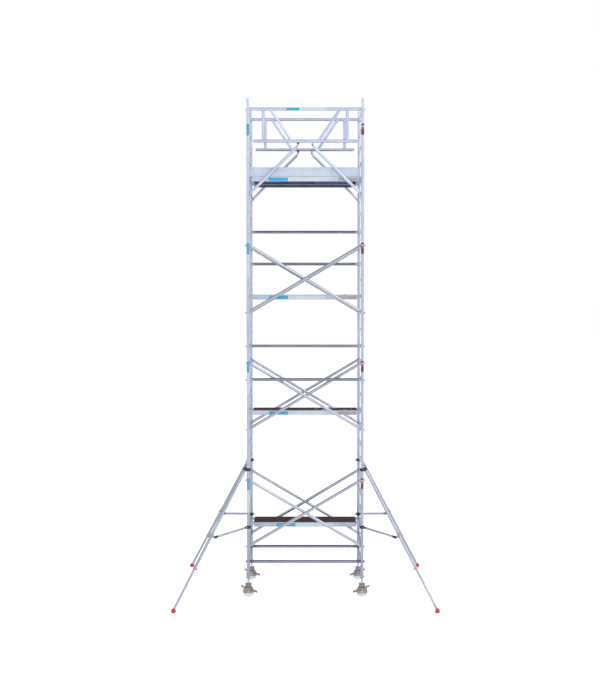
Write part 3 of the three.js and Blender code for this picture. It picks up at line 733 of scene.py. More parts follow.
def platform(acc, M, hatch, bands):
    # grooved side extrusions
    first = len(acc.f)
    for s in (1, -1):
        acc.along_x([(s * y, z) for y, z in BEAM], -HX, HX, 0, M, 0.0006)
    # end beams with a lip over the board
    for e in (-1, 1):
        xa, xb = sorted((e * 0.853, e * 0.884))
        acc.box(xa, xb, -HY + 0.009, HY - 0.009, -0.052, 0.0105, 0, M, 0.002)
        xa, xb = sorted((e * 0.872, e * 0.884))
        acc.box(xa, xb, -HY + 0.0142, HY - 0.0142, 0.0095, 0.0258, 0, M, 0.0008)
    # the faces that look inwards or down get a dark colour as painted shade, the film of the board covers the top
    back = M.inverted()
    for i in range(first, len(acc.f)):
        c = back @ (sum((Vector(acc.v[j]) for j in acc.f[i]), Vector()) / len(acc.f[i]))
        if abs(c.y) < HY - 0.0072 and c.z < 0.009 and abs(c.x) < 0.880:
            acc.m[i] = 11
        elif c.z > 0.0250:
            acc.m[i] = 3
    # cross members, in the dark underside colour that stands in for the shade under the deck
    xs = [-0.335, 0.1625] if hatch else [-0.435, 0.0, 0.435]
    for x in xs:
        prof = [(x - 0.015, -0.046), (x + 0.015, -0.046), (x + 0.015, 0.0110), (x - 0.015, 0.0110)]
        acc.slab(prof, -HY + 0.0095, HY - 0.0095, 4, M, 0.002)
    zt, zb = 0.0252, 0.0118
    ye = HY - 0.0144
    if hatch:
        board(acc, -0.8715, 0.185, -ye, ye, zb, zt, M)
        board(acc, 0.795, 0.8715, -ye, ye, zb, zt, M)
        board(acc, 0.185, 0.795, 0.230, ye, zb, zt, M)
        board(acc, 0.185, 0.795, -ye, -0.230, zb, zt, M)
        # rebate frame that the hatch rests on
        for x0, x1, y0, y1 in ((0.187, 0.205, -0.230, 0.230), (0.775, 0.795, -0.230, 0.230),
                               (0.205, 0.775, 0.210, 0.230), (0.205, 0.775, -0.230, -0.210)):
            acc.box(x0, x1, y0, y1, -0.040, 0.0118, 11, M, 0.0012)
        # hinge halves on the board
        for hx in (0.30, 0.68):
            acc.box(hx - 0.030, hx + 0.030, -0.262, -0.2335, 0.0250, 0.0274, 9, M, 0.0005)
            for d in (-0.021, 0.021):
                acc.lathe([(0, -0.0085), (0.0042, -0.0085), (0.0048, -0.0078), (0.0048, 0.0078), (0.0042, 0.0085), (0, 0.0085)], 16, 2,
                          M @ T((hx + d, -0.229, 0.026)) @ RY(math.pi / 2))
            for d in (-0.018, 0.018):
                acc.dome(0.0036, 0.0016, M @ T((hx + d, -0.250, 0.0274)), 2, 10)
    else:
        board(acc, -0.8715, 0.8715, -ye, ye, zb, zt, M)
    # blind rivets along the lips and the cross members
    for s in (1, -1):
        for k in range(9):
            x = -0.80 + 0.2 * k
            acc.dome(0.0040, 0.0018, M @ T((x, s * (HY - 0.0072), 0.026)), 11, 10)
        for x in xs:
            for z in (-0.030, -0.0095):
                acc.dome(0.0042, 0.0020, M @ T((x, s * (HY - 0.0010), z)) @ RX(-s * math.pi / 2), 2, 10)
    for x in xs:
        for y in (-0.18, -0.06, 0.06, 0.18):
            acc.dome(0.0042, 0.0014, M @ T((x, y, zt)), 2, 10)
    # cast hooks with a wind lock
    for e in (-1, 1):
        F = M @ T((e * PX, 0, 0)) @ (FLIPX if e < 0 else Matrix.Identity(4))
        for y in (-0.215, 0.215):
            G = F @ T((0, y, 0))
            acc.slab(PHOOK, -0.023, 0.023, 1, G, 0.003)
            rib = arc(0, 0, 0.0215, 178, 2, 10) + arc(0, 0, 0.0265, 2, 178, 10)
            acc.slab(rib, -0.0246, -0.0225, 1, G, 0.0007)
            acc.slab(rib, 0.0225, 0.0246, 1, G, 0.0007)
            acc.slab([(-0.074, -0.018), (-0.032, -0.018), (-0.030, 0.014), (-0.074, 0.012)], -0.0246, 0.0246, 1, G, 0.001)
            for x in (-0.066, -0.050):
                acc.dome(0.0046, 0.0020, G @ T((x, 0.012, 0.0262 + (x + 0.066) * 0.12)), 2, 10)
                acc.dome(0.0046, 0.0020, G @ T((x, -0.012, 0.0262 + (x + 0.066) * 0.12)), 2, 10)
            lock = arc(0, 0, 0.0204, 248, 322, 8) + arc(0, 0, 0.0248, 322, 248, 8)
            acc.slab(lock, -0.011, 0.011, 9, G, 0.0008)
            acc.box(-0.036, -0.006, -0.012, 0.012, -0.0318, -0.0262, 9, G, 0.0012)
    # plain bands on the near beam
    for x0, x1, mat in bands:
        acc.box(x0, x1, -HY - 0.0004, -HY + 0.0006, -0.0480, 0.0080, mat, M, 0.0001)


STD_BANDS = [(-0.608, -0.289, 6), (-0.289, 0.333, 7), (0.550, 0.868, 8)]
for name, hatch, y, level in (("platform_1", False, 0.28425, 0), ("platform_2", True, 0.0, 1), ("platform_3", True, 0.0, 2),
                              ("platform_4_near", True, -0.28425, 3), ("platform_4_far", False, 0.28425, 3)):
    a = Acc()
    bands = {"platform_1": [(-0.4875, -0.165, 6), (-0.165, 0.482, 7)], "platform_4_far": []}.get(name, STD_BANDS)
    platform(a, T((0, y, rung_z(level, 3))), hatch, bands)
    piece(name + "_deck", a, MATS_P, "tower", [name])

for k, y in ((2, 0.0), (3, 0.0), (4, -0.28425)):
    a = Acc()
    M = T((0, y, rung_z(k - 1, 3)))
    x0, x1, h = 0.1865, 0.7935, 0.2285
    board(a, x0 + 0.002, x1 - 0.002, -h + 0.002, h - 0.002, 0.0128, 0.0252, M)
    # edge angle round the lid
    for xa, xb, ya, yb in ((x0, x0 + 0.012, -h, h), (x1 - 0.012, x1, -h, h), (x0 + 0.012, x1 - 0.012, h - 0.012, h), (x0 + 0.012, x1 - 0.012, -h, -h + 0.012)):
        a.box(xa, xb, ya, yb, 0.0246, 0.0260, 11, M, 0.0004)
    for xa, xb, ya, yb in ((x0, x0 + 0.0018, -h, h), (x1 - 0.0018, x1, -h, h), (x0 + 0.002, x1 - 0.002, h - 0.0018, h), (x0 + 0.002, x1 - 0.002, -h, -h + 0.0018)):
        a.box(xa, xb, ya, yb, 0.0126, 0.0252, 11, M, 0.0004)
    for hx in (0.30, 0.68):
        a.box(hx - 0.028, hx + 0.028, -0.2235, -0.170, 0.0260, 0.0278, 9, M, 0.0005)
        a.lathe([(0, -0.0115), (0.0042, -0.0115), (0.0048, -0.0108), (0.0048, 0.0108), (0.0042, 0.0115), (0, 0.0115)], 16, 2,
                M @ T((hx, -0.229, 0.026)) @ RY(math.pi / 2))
        for d in (-0.018, 0.018):
            for yy in (-0.205, -0.182):
                a.dome(0.0036, 0.0016, M @ T((hx + d, yy, 0.0278)), 2, 10)
    # turn latch and grab ring near the free edge
    a.box(0.455, 0.525, 0.160, 0.205, 0.0250, 0.0268, 9, M, 0.0006)
    a.torus(0.0165, 0.0028, M @ T((0.490, 0.180, 0.0284)), 2, 28, 8)
    a.lathe([(0, 0), (0.0052, 0), (0.0052, 0.0045), (0.0036, 0.0060), (0, 0.0062)], 14, 2, M @ T((0.490, 0.2005, 0.0266)))
    a.box(0.484, 0.496, 0.150, 0.2235, 0.0086, 0.0126, 9, M, 0.0008)
    for xx in (x0 + 0.04, 0.34, 0.49, 0.64, x1 - 0.04):
        a.dome(0.0034, 0.0014, M @ T((xx, h - 0.006, 0.0260)), 2, 10)
        a.dome(0.0034, 0.0014, M @ T((xx, -h + 0.006, 0.0260)), 2, 10) if abs(xx - 0.30) > 0.05 and abs(xx - 0.68) > 0.05 else None
    piece(f"hatch_lid_{k}", a, MATS_P, f"hatch_{k}_body", [f"hatch_{k}"])

# ------------------------------------------------------------------ toe boards
TZ = rung_z(3, 3) + 0.0264
MATS_T = [TOEM, HOOKM, ZINCM, BLACKM]
OUTY = 0.566
prof = [(OUTY - 0.0020, 0.0), (OUTY, 0.0020), (OUTY, 0.020), (OUTY - 0.0022, 0.0225), (OUTY - 0.0022, 0.047), (OUTY, 0.0495), (OUTY, 0.1035),
        (OUTY - 0.0022, 0.106), (OUTY - 0.0022, 0.1305), (OUTY, 0.133), (OUTY, 0.151), (OUTY - 0.0020, 0.153),
        (OUTY - 0.0230, 0.153), (OUTY - 0.0250, 0.151), (OUTY - 0.0250, 0.141), (OUTY - 0.0230, 0.1395), (OUTY - 0.0080, 0.1395),
        (OUTY - 0.0080, 0.0135), (OUTY - 0.0230, 0.0135), (OUTY - 0.0250, 0.0120), (OUTY - 0.0250, 0.0020), (OUTY - 0.0230, 0.0)]
for sname, s in (("near", -1), ("far", 1)):
    a = Acc()
    a.along_x([(s * y, z) for y, z in prof], -0.9045, 0.9045, 0, T((0, 0, TZ)), 0.0006)
    for e in (-1, 1):
        for zz in (0.034, 0.076, 0.119):
            a.dome(0.0046, 0.0014, T((e * 0.8675, s * (OUTY - 0.0002), TZ + zz)) @ RX(-s * math.pi / 2), 2, 10)
    piece(f"toe_board_{sname}", a, MATS_T, "tower", ["toe_boards"])
R90 = RZ(math.pi / 2)
dX = 0.880 - OUTY
for sname, s in (("left", -1), ("right", 1)):
    a = Acc()
    # an end board is the same section turned a quarter, between the side boards
    M = T((s * dX, 0, TZ)) @ R90
    pr = [(-s * y, z) for y, z in prof]
    a.along_x(pr, -0.5405, 0.5405, 0, M, 0.0006)
    piece(f"toe_board_{sname}", a, MATS_T, "tower", ["toe_boards"])
a = Acc()
for sx in (-1, 1):
    for sy in (-1, 1):
        F = T((sx * 0.880, sy * (OUTY - 0.025), TZ)) @ (FLIPX if sx < 0 else Matrix.Identity(4)) @ (FLIPY if sy < 0 else Matrix.Identity(4))
        # angle in the corner outside the end board, riveted to both boards
        pts = [(0.0002, -0.0003), (0.0200, -0.0003), (0.0200, -0.0020), (0.0020, -0.0020), (0.0020, -0.0420), (0.0002, -0.0420)]
        S = Matrix(((1, 0, 0, 0), (0, 0, 1, 0), (0, 1, 0, 0), (0, 0, 0, 1)))
        a.slab(pts, 0.006, 0.147, 0, F @ S, 0.0005)
        for zz in (0.034, 0.076, 0.119):
            a.dome(0.0044, 0.0020, F @ T((0.0018, -0.026, zz)) @ RY(math.pi / 2), 2, 10)
piece("toe_board_corners", a, MATS_T, "tower", ["toe_boards"])

# ------------------------------------------------------------------ guardrail frames
GZ = rung_z(3, 7)
MATS_G = [CASTM, LATCHM, ZINCM, GUARDM, WELDM, BLACKM, CYANM, PALEM]
GD, LIFT = 0.0250, -0.006
for sname, s in (("near", -1), ("far", 1)):
    a = Acc()
    y = s * SIDE_Y
    rail(a, y, GZ, 0.015, TUBE_R, 3, 0.0445, (3, 3, 2))
    zt, zm = GZ + 0.015, GZ - 0.513
    a.tube([(-0.863, y, zm), (0.863, y, zm)], TUBE_R, 36, 3)
    for e in (-1, 1):
        # moulded end plug
        a.lathe([(0, 0), (0.0252, 0), (0.0257, 0.0006), (0.0257, 0.0022), (0.0225, 0.0040), (0.0120, 0.0052), (0, 0.0055)], 32, 5,
                T((e * 0.8592, y, zm)) @ RY(e * math.pi / 2))
        a.tube([(e * 0.695, y, zm), (e * 0.695, y, zt)], GD, 36, 3)
        bar_on_rail(a, (e * 0.695, y, zm), (0, 0, 1), (1, 0, 0), GD, TUBE_R, 4)
        bar_on_rail(a, (e * 0.695, y, zt), (0, 0, -1), (1, 0, 0), GD, TUBE_R, 4)
        p, q = Vector((e * 0.578, y, zt)), Vector((e * 0.222, y, zm))
        d = (q - p).normalized()
        a.tube([p, q], GD, 36, 3)
        k = 1 / abs(d.z)
        for c, way in ((p, 1), (q, -1)):
            dd = d * way
            ring = []
            for j in range(28):
                t = 2 * math.pi * j / 28
                u = Vector((0, 1, 0))
                v = dd.cross(u).normalized()
                off = u * (GD * math.cos(t)) + v * (GD * math.sin(t))
                hgt = math.sqrt(max(TUBE_R ** 2 - (GD * math.cos(t)) ** 2, 1e-8))
                # slide along the bar until its distance below the rail's axis matches the rail's surface
                along = (hgt - off.z * (1 if dd.z > 0 else -1)) * k
                ring.append(c + off + dd * along)
            ringm = []
            for j in range(28):
                cen, nxt = ring[j], ring[(j + 1) % 28]
                tdir = (nxt - ring[j - 1]).normalized()
                out = (cen - c - dd * (cen - c).dot(dd)).normalized()
                w = tdir.cross(out).normalized()
                rr = 0.0028 * (1 + 0.16 * math.sin(j * 2.1))
                ringm.append([tuple(cen + out * (rr * math.cos(t)) + w * (rr * math.sin(t))) for t in [2 * math.pi * m / 6 for m in range(6)]])
            a.rings(ringm, 4, None, closed=True)
        # lug that carries the leg's pivot
        X = T((e * 0.12, y, GZ - 0.580))
        lug = [(-0.016, 0.062), (-0.016, 0.0)] + arc(0, 0, 0.016, 180, 360, 10) + [(0.016, 0.062)]
        a.slab(lug, -0.005, 0.005, 3, X, 0.001)
        for sy in (-1, 1):
            a.tube([(e * 0.12 - 0.017, y + sy * 0.0062, zm - 0.0246), (e * 0.12 + 0.017, y + sy * 0.0062, zm - 0.0246)], 0.0028, 8, 4)
        if e < 0:
            # rubber stop that the folded leg rests on
            a.slab([(-0.0205, 0.0245), (-0.0190, 0.0225), (0.0190, 0.0225), (0.0205, 0.0245), (0.0205, 0.0400), (-0.0205, 0.0400)], -0.0135, 0.0135, 5, X, 0.0015)
    # plain bands on the top rail
    if s < 0:
        B = T((0, y, zt)) @ RY(math.pi / 2)
        band(a, TUBE_R, -0.315, -0.098, -150, -30, 6, B)
        band(a, TUBE_R, -0.098, 0.325, -150, -30, 7, B)
    piece(f"guardrail_{sname}_frame", a, MATS_G, "tower", [f"guardrail_{sname}"])

    for side, e in (("left", -1), ("right", 1)):
        a = Acc()
        O = T((e * 0.12, y, GZ - 0.580)) @ (FLIPX if e < 0 else Matrix.Identity(4))
        dx, dz = PX - 0.12, -(6 * PITCH - 0.580 - PITCH)
        ln = math.hypot(dx, dz)
        d = Vector((dx / ln, 0, dz / ln))
        n = Vector((-d.z, 0, d.x))
        a.tube([d * 0.036 + n * LIFT, d * (ln - 0.040) + n * LIFT], GD, 36, 3, O)
        # clevis cheeks and pivot bolt
        ch = [d * 0.0 + n * 0.0145, d * 0.060 + n * 0.0175, d * 0.066 + n * 0.012, d * 0.066 - n * 0.012, d * 0.060 - n * 0.0175, d * 0.0 - n * 0.0145]
        pol = [(p.x, p.z) for p in ch]
        base = math.degrees(math.atan2((-n).z, (-n).x))
        pol += arc(0, 0, 0.0145, base, base - 180, 8)[1:-1]
        for sy in (-1, 1):
            y0, y1 = sorted((sy * 0.0062, sy * 0.0118))
            a.slab(pol, y0, y1, 3, O, 0.001)
        a.bolt(0.0085, 0.0065, O @ T((0, -0.0118, 0)) @ RX(math.pi / 2), 2 if e < 0 else 5)
        a.bolt(0.0085, 0.0065, O @ T((0, 0.0118, 0)) @ RX(-math.pi / 2), 2)
        # cradle that bears against the rung from inside and below
        C = O @ T((dx, 0, dz))
        cr = arc(0, 0, 0.0197, 112, 292, 14) + [(0.0120, -0.0305), (-0.006, -0.0325)] + arc(0, 0, 0.0325, 245, 158, 8)
        a.slab(cr, -0.017, 0.017, 0, C, 0.002)
        m = -d
        a.tube([m * t + n * LIFT for t in (0.0240, 0.0270, 0.0640, 0.0655)], GD, 32, 0, C, radii=[0.0225, 0.0260, 0.0260, 0.0248])
        for t in (0.040, 0.056):
            for sgn in (-1, 1):
                c = m * t + n * LIFT
                a.dome(0.0042, 0.0022, C @ T((c.x, sgn * 0.0256, c.z)) @ RX(-sgn * math.pi / 2), 2, 10)
        piece(f"guardrail_leg_{sname}_{side}_tube", a, MATS_G, f"leg_{sname}_{side}", [f"guardrail_leg_{sname}_{side}"])

# ------------------------------------------------------------------ castors
CORNERS = (("near_left", -1, -1), ("near_right", 1, -1), ("far_left", -1, 1), ("far_right", 1, 1))
MATS_C = [FORKM, FORKDK, ZINCM, TYREM, HUBM, PEDALM, BLACKM, STABM, LEVERM]
HALF_CHEEK = [(0.0750, 0.0742), (0.0820, 0.0800), (0.0857, 0.0880), (0.0857, 0.1210), (0.0835, 0.1360), (0.0798, 0.1520), (0.0755, 0.1610),
              (0.0695, 0.1672), (0.0580, 0.1715), (0.0520, 0.1750), (0.0500, 0.1820), (0.0500, 0.2140)]
CHEEK = [(-x, z) for x, z in reversed(HALF_CHEEK)] + HALF_CHEEK


def wheel_mesh():
    a = Acc()
    R, W = 0.100, 0.025
    prof = [(0.0089, -0.0248), (0.0215, -0.0248), (0.0245, -0.0235), (0.0250, -0.0120), (0.0300, -0.0085), (0.0700, -0.0085), (0.0745, -0.0110),
            (0.0765, -0.0195), (0.0785, -0.0222), (0.0900, -0.0235), (0.0955, -0.0215), (0.0986, -0.0165), (0.0998, -0.0090), (R, 0),
            (0.0998, 0.0090), (0.0986, 0.0165), (0.0955, 0.0215), (0.0900, 0.0235), (0.0785, 0.0222), (0.0765, 0.0195), (0.0745, 0.0110),
            (0.0700, 0.0085), (0.0300, 0.0085), (0.0250, 0.0120), (0.0245, 0.0235), (0.0215, 0.0248), (0.0089, 0.0248)]
    Q = RX(math.pi / 2)
    a.lathe(prof, 72, 3, Q, close=True)
    # moulded ribs of the web, each side
    for i in range(8):
        F = Q @ RZ(2 * math.pi * i / 8)
        for s in (-1, 1):
            z0, z1 = sorted((s * 0.0080, s * 0.0175))
            P = F @ Matrix(((1, 0, 0, 0), (0, 0, 1, 0), (0, 1, 0, 0), (0, 0, 0, 1)))
            a.slab([(0.0235, z0), (0.0760, z0), (0.0772, z1), (0.0240, z1)], -0.0022, 0.0022, 4, P, 0.0006)
    for s in (-1, 1):
        a.lathe([(0.0089, 0.0240), (0.0185, 0.0240), (0.0185, 0.0252), (0.0120, 0.0256), (0.0089, 0.0256)], 32, 2, Q if s > 0 else Q @ RX(math.pi), close=True)
    return a


for cname, sx, sy in CORNERS:
    P = T((sx * PX, sy * PY, 0))
    # spindle with a trapezoidal thread and its collar
    a = Acc()
    prof = [(0, 0.2322), (0.0245, 0.2322), (0.0260, 0.2337), (0.0260, 0.2405), (0.0245, 0.2420), (0.0185, 0.2425), (0.0172, 0.2480), (0.0172, 0.2520)]
    z = 0.2520
    while z < 0.655:
        prof += [(0.0180, z + 0.0012), (0.0180, z + 0.0040), (0.0160, z + 0.0056), (0.0160, z + 0.0080)]
        z += 0.0084
    prof += [(0.0176, z + 0.002), (0.0176, 0.696), (0.0160, 0.6990), (0, 0.700)]
    a.lathe(prof, 24, 2, P)
    piece(f"castor_spindle_{cname}_thread", a, MATS_C, f"spindle_{cname}", [f"castor_spindle_{cname}"])

    # fork: pressed housing, swivel race, axle
    a = Acc()
    a.lathe([(0, 0.2055), (0.0440, 0.2055), (0.0480, 0.2075), (0.0480, 0.2150), (0.0470, 0.2165), (0.0470, 0.2180), (0, 0.2180)], 48, 0, P)
    a.lathe([(0, 0.2178), (0.0455, 0.2178), (0.0462, 0.2190), (0.0462, 0.2215), (0.0455, 0.2225), (0, 0.2225)], 48, 1, P)
    a.lathe([(0, 0.2223), (0.0475, 0.2223), (0.0480, 0.2235), (0.0472, 0.2285), (0.0420, 0.2305), (0.0300, 0.2314), (0, 0.2316)], 48, 0, P)
    top = [(-0.0500, 0.2020), (-0.0495, 0.2010), (0.0495, 0.2010), (0.0500, 0.2020), (0.0500, 0.2265), (0.0470, 0.2290), (-0.0470, 0.2290), (-0.0500, 0.2265)]
    a.slab(top, -0.0340, 0.0340, 0, P, 0.003)
    for s in (-1, 1):
        y0, y1 = sorted((s * 0.0302, s * 0.0340))
        a.slab(CHEEK, y0, y1, 0, P, 0.0012)
        # pressed bead that follows the cheek and a rolled lower edge
        for half in (1, -1):
            a.tube([(half * x * 0.90, s * 0.0336, 0.124 + (z - 0.124) * 0.86) for x, z in HALF_CHEEK[:9]], 0.0017, 6, 0, P)
        # black strip of painted shadow, as cast by the brake lever, along the joint between the pressed cheek and the
        # head of the fork
        y2, y3 = sorted((s * 0.0336, s * 0.0346))
        a.box(-0.0575, 0.0575, y2, y3, 0.1670, 0.1800, 6, P, 0.0002)
        # side plate of the head
        a.box(-0.0498, 0.0498, y2, y3, 0.1800, 0.2120, 0, P, 0.0002)
        for half in (1, -1):
            a.bolt(0.0078, 0.0085, P @ T((half * 0.0395, s * 0.0262, 0.2285)), 1)
            a.bolt(0.0060, 0.0050, P @ T((half * 0.0400, s * 0.0346, 0.1960)) @ RX(-s * math.pi / 2), 1)
        # axle boss, nut and washer
        A = P @ T((0, 0, 0.100)) @ RX(-s * math.pi / 2)
        a.lathe([(0, 0.0335), (0.0190, 0.0335), (0.0180, 0.0352), (0, 0.0354)], 28, 0, A)
        a.bolt(0.0095, 0.0068, A @ T((0, 0, 0.0352)), 2)
        # pivot boss of the brake rocker
        B = P @ T((0, 0, 0.143)) @ RX(-s * math.pi / 2)
        a.lathe([(0, 0.0335), (0.0068, 0.0335), (0.0068, 0.0424), (0.0078, 0.0428), (0.0078, 0.0440), (0.0060, 0.0448), (0, 0.0450)], 18, 2, B)
    a.lathe([(0, -0.0345), (0.0080, -0.0345), (0.0080, 0.0345), (0, 0.0345)], 20, 2, P @ T((0, 0, 0.100)) @ RX(math.pi / 2))
    piece(f"castor_fork_{cname}_housing", a, MATS_C, f"fork_{cname}", [f"castor_fork_{cname}"])

    a = wheel_mesh()
    b2 = Acc()
    b2.v, b2.f, b2.m = [tuple(P @ T((0, 0, 0.100)) @ Vector(v)) for v in a.v], a.f, a.m
    piece(f"castor_wheel_{cname}_tyre", b2, MATS_C, f"wheel_{cname}", [f"castor_wheel_{cname}"])

    # brake rocker
    a = Acc()
    D = P @ T((0, 0, 0.143)) @ (FLIPX if sx > 0 else Matrix.Identity(4))
    ix, iz, ox, oz, h = 0.150, -0.057, -0.125, 0.047, 0.008
    side_o = [(ox, oz - h), (0.0 - 0.012, -0.0105), (0.012, -0.0105), (ix - 0.004, iz - h), (ix, iz - h + 0.003), (ix, iz + h - 0.002), (ix - 0.004, iz + h),
              (0.013, 0.0125), (-0.013, 0.0145), (ox + 0.003, oz + h), (ox, oz + h - 0.003)]
    for s in (-1, 1):
        y0, y1 = sorted((s * 0.0352, s * 0.0400))
        # flank split by the pivot hole: ring plus arms
        a.lathe([(0.0076, 0.0352), (0.0142, 0.0352), (0.0142, 0.0400), (0.0076, 0.0400)], 24, 0, D @ RX(-s * math.pi / 2), close=True)
        a.slab([(0.0108, -0.0090), (ix - 0.004, iz - h), (ix, iz - h + 0.003), (ix, iz + h - 0.002), (ix - 0.004, iz + h), (0.0115, 0.0080)], y0, y1, 5, D, 0.0010)
        a.slab([(-0.0110, -0.0085), (-0.0112, 0.0085), (ox + 0.003, oz + h), (ox, oz + h - 0.003), (ox, oz - h)], y0, y1, 0, D, 0.0010)
    a.slab([(ix, iz - h + 0.001), (ix, iz + h), (ix - 0.030, iz + h + 0.011), (ix - 0.032, iz + h + 0.004), (ix - 0.004, iz - h)], -0.0370, 0.0370, 5, D, 0.0016)
    a.box(ix - 0.0060, ix - 0.0006, -0.0366, 0.0366, iz - h + 0.0030, iz + h + 0.0030, 1, D, 0.0008)
    a.slab([(ox, oz - h), (ox, oz + h), (ox + 0.026, oz + h - 0.009), (ox + 0.027, oz + h - 0.0145)], -0.0370, 0.0370, 8, D, 0.0012)
    # tread ribs on both pedals
    e = Vector((0.030, 0, -0.011)).normalized()
    for k in range(5):
        c = Vector((ix - 0.027 + 0.0058 * k, 0, iz + h + 0.0099 - 0.0021 * k))
        a.tube([(c.x, -0.030, c.z), (c.x, 0.030, c.z)], 0.0013, 8, 6 if k == 4 else 5, D)
    for k in range(4):
        c = Vector((ox + 0.004 + 0.0058 * k, 0, oz + h - 0.0012 - 0.0020 * k))
        a.tube([(c.x, -0.030, c.z), (c.x, 0.030, c.z)], 0.0013, 8, 8, D)
    piece(f"castor_brake_{cname}_rocker", a, MATS_C, f"brake_{cname}", [f"castor_brake_{cname}"])

# ------------------------------------------------------------------ stabilisers
MATS_S = [STABM, BLACKM, CASTM, ZINCM, TEALM, REDM, LATCHM, STAB_FAR_SHADE_M, PALEM]
DROP = CLAMP_Z - FOOT_Z
SL = math.hypot(REACH, DROP)
DX, DZ = REACH / SL, -DROP / SL
LEAN = math.atan2(REACH, DROP)
for cname, sx, sy in CORNERS:
    k = 1 if sx * sy < 0 else -1
    turn = math.atan2(sy * math.sin(SPREAD), sx * math.cos(SPREAD))
    P = T((sx * PX, sy * PY, 0)) @ RZ(turn)
    far = sy > 0

    def on_tube(s, P=P, k=k):
        """Frame whose +Z runs down the long tube, at distance s from the upper clamp."""
        return P @ T((DX * s, k * OFF, CLAMP_Z + DZ * s)) @ RY(math.pi - LEAN)
    a = Acc()
    U = on_tube(0)
    end = 0.72 * SL
    # the far stabilisers take the darker tube copy as painted shade
    far_shade_slot = 7 if far else 0
    a.lathe([(0.021, -0.0495), (0.021, end - 0.002), (0.0216, end), (0.0233, end), (0.024, end - 0.0008), (0.024, -0.069), (0.0230, -0.070), (0, -0.070), (0, -0.0495)], 36, far_shade_slot, U)
    # end collar with its pin, dark plug on the upper end
    a.lathe([(0.0238, end - 0.050), (0.0268, end - 0.048), (0.0272, end - 0.044), (0.0272, end - 0.006), (0.0262, end - 0.002), (0.0238, end - 0.001)], 32, 6, U, close=True)
    a.lathe([(0, -0.0745), (0.0200, -0.0745), (0.0246, -0.0735), (0.0250, -0.0715), (0.0250, -0.0560), (0.0238, -0.0550), (0, -0.0550)], 32, 1, U)
    pin = U @ T((0, 0, end - 0.026))
    a.lathe([(0, 0.0262), (0.0050, 0.0262), (0.0050, 0.0330), (0.0100, 0.0340), (0.0110, 0.0370), (0.0110, 0.0500), (0.0095, 0.0530), (0, 0.0535)], 20, 1, pin @ RY(math.pi / 2))
    # coupler shells at the top and at the strut
    half_coupler(a, U, 0.0241, 0.028, (1, 3), 0)
    a.bolt(0.0085, 0.0075, U @ RX(-k * math.pi / 2) @ T((0, 0, 0.0335)), 3)
    J = on_tube(1.261)
    half_coupler(a, J, 0.0241, 0.026, (6, 3), 0)
    for s in (-1, 1):
        a.bolt(0.0072, 0.0062, J @ RX(s * math.pi / 2) @ T((0, 0, 0.0335)), 3)
    # clamp rings round the post, with bolted ears facing the tower
    for zc, half in ((CLAMP_Z, 0.025), (LOW_Z, 0.025)):
        half_coupler(a, P @ T((0, 0, zc)) @ RZ(math.pi + k * 0.55), 0.0274, half, (1, 3), 1)
    # swivel block between the upper clamp and the tube
    y0, y1 = sorted((k * 0.0345, k * (OFF - 0.0225)))
    a.box(-0.0155, 0.0155, y0, y1, CLAMP_Z - 0.019, CLAMP_Z + 0.019, 1, P, 0.003)
    for s in (-1, 1):
        a.bolt(0.0055, 0.0045, P @ T((s * 0.0155, k * 0.046, CLAMP_Z)) @ RY(s * math.pi / 2), 3)
    # strut: flattened lug at the post, bent tube out to the coupler
    p0 = Vector((0.0400, 0, LOW_Z - 0.001))
    p1 = Vector((0.742, k * 0.030, 1.098))
    tx = Vector((DX * 1.261, k * OFF, CLAMP_Z + DZ * 1.261))
    dd = (p1 - p0).normalized()
    path = [p0 + dd * t for t in (0.0, 0.02, 0.05, 0.2, 0.4, 0.62)] + [p0 + dd * ((p1 - p0).length - 0.020)]
    d2 = (tx - Vector((0.736, k * 0.022, 1.098))).normalized()
    a.tube(path, 0.019, 28, far_shade_slot, P, radii=[0.0150, 0.0182, 0.019, 0.019, 0.019, 0.019, 0.019])
    a.tube([p0 + dd * ((p1 - p0).length - 0.075), p0 + dd * ((p1 - p0).length - 0.072), p0 + dd * ((p1 - p0).length - 0.010), p0 + dd * ((p1 - p0).length - 0.006)], 0.022, 24, 1, P,
           radii=[0.0192, 0.0216, 0.0216, 0.0195])
    a.tube([Vector((0.733, k * 0.026, 1.098)), Vector((0.736, k * 0.036, 1.0975)), tx - d2 * 0.031], 0.0155, 20, 6, P)
    a.tube([p0 - dd * 0.006, p0 + dd * 0.004, p0 + dd * 0.040, p0 + dd * 0.046], 0.0215, 24, 1, P, radii=[0.0170, 0.0215, 0.0215, 0.0192])
    Z = P @ T((0.052, 0, LOW_Z))
    for s in (-1, 1):
        a.bolt(0.0070, 0.0060, Z @ T((0, s * 0.0213, 0)) @ RX(-s * math.pi / 2), 3)
    # plain band on the long tube
    band(a, 0.024, 0.86, 1.03, 0, 358, 4, U)
    band(a, 0.024, 1.03, 1.16, 0, 358, 8, U)
    piece(f"stabiliser_{cname}_arm", a, MATS_S, f"stabiliser_{cname}_body", [f"stabiliser_{cname}"])

    a = Acc()
    a.lathe([(0.0165, 1.4205), (0.0189, 1.4205), (0.0195, 1.4215), (0.0195, SL - 0.032), (0.0165, SL - 0.032)], 32, far_shade_slot, U, close=True)
    # locating holes as dark dimples along the leg
    for j in range(6):
        d = U @ T((0, 0, end + 0.060 + 0.095 * j)) @ RY(math.pi / 2)
        a.lathe([(0, 0.0190), (0.0048, 0.0190), (0.0048, 0.01965), (0, 0.01968)], 16, 1, d)
        a.lathe([(0, 0.0190), (0.0048, 0.0190), (0.0048, 0.01965), (0, 0.01968)], 16, 1, d @ RY(math.pi))
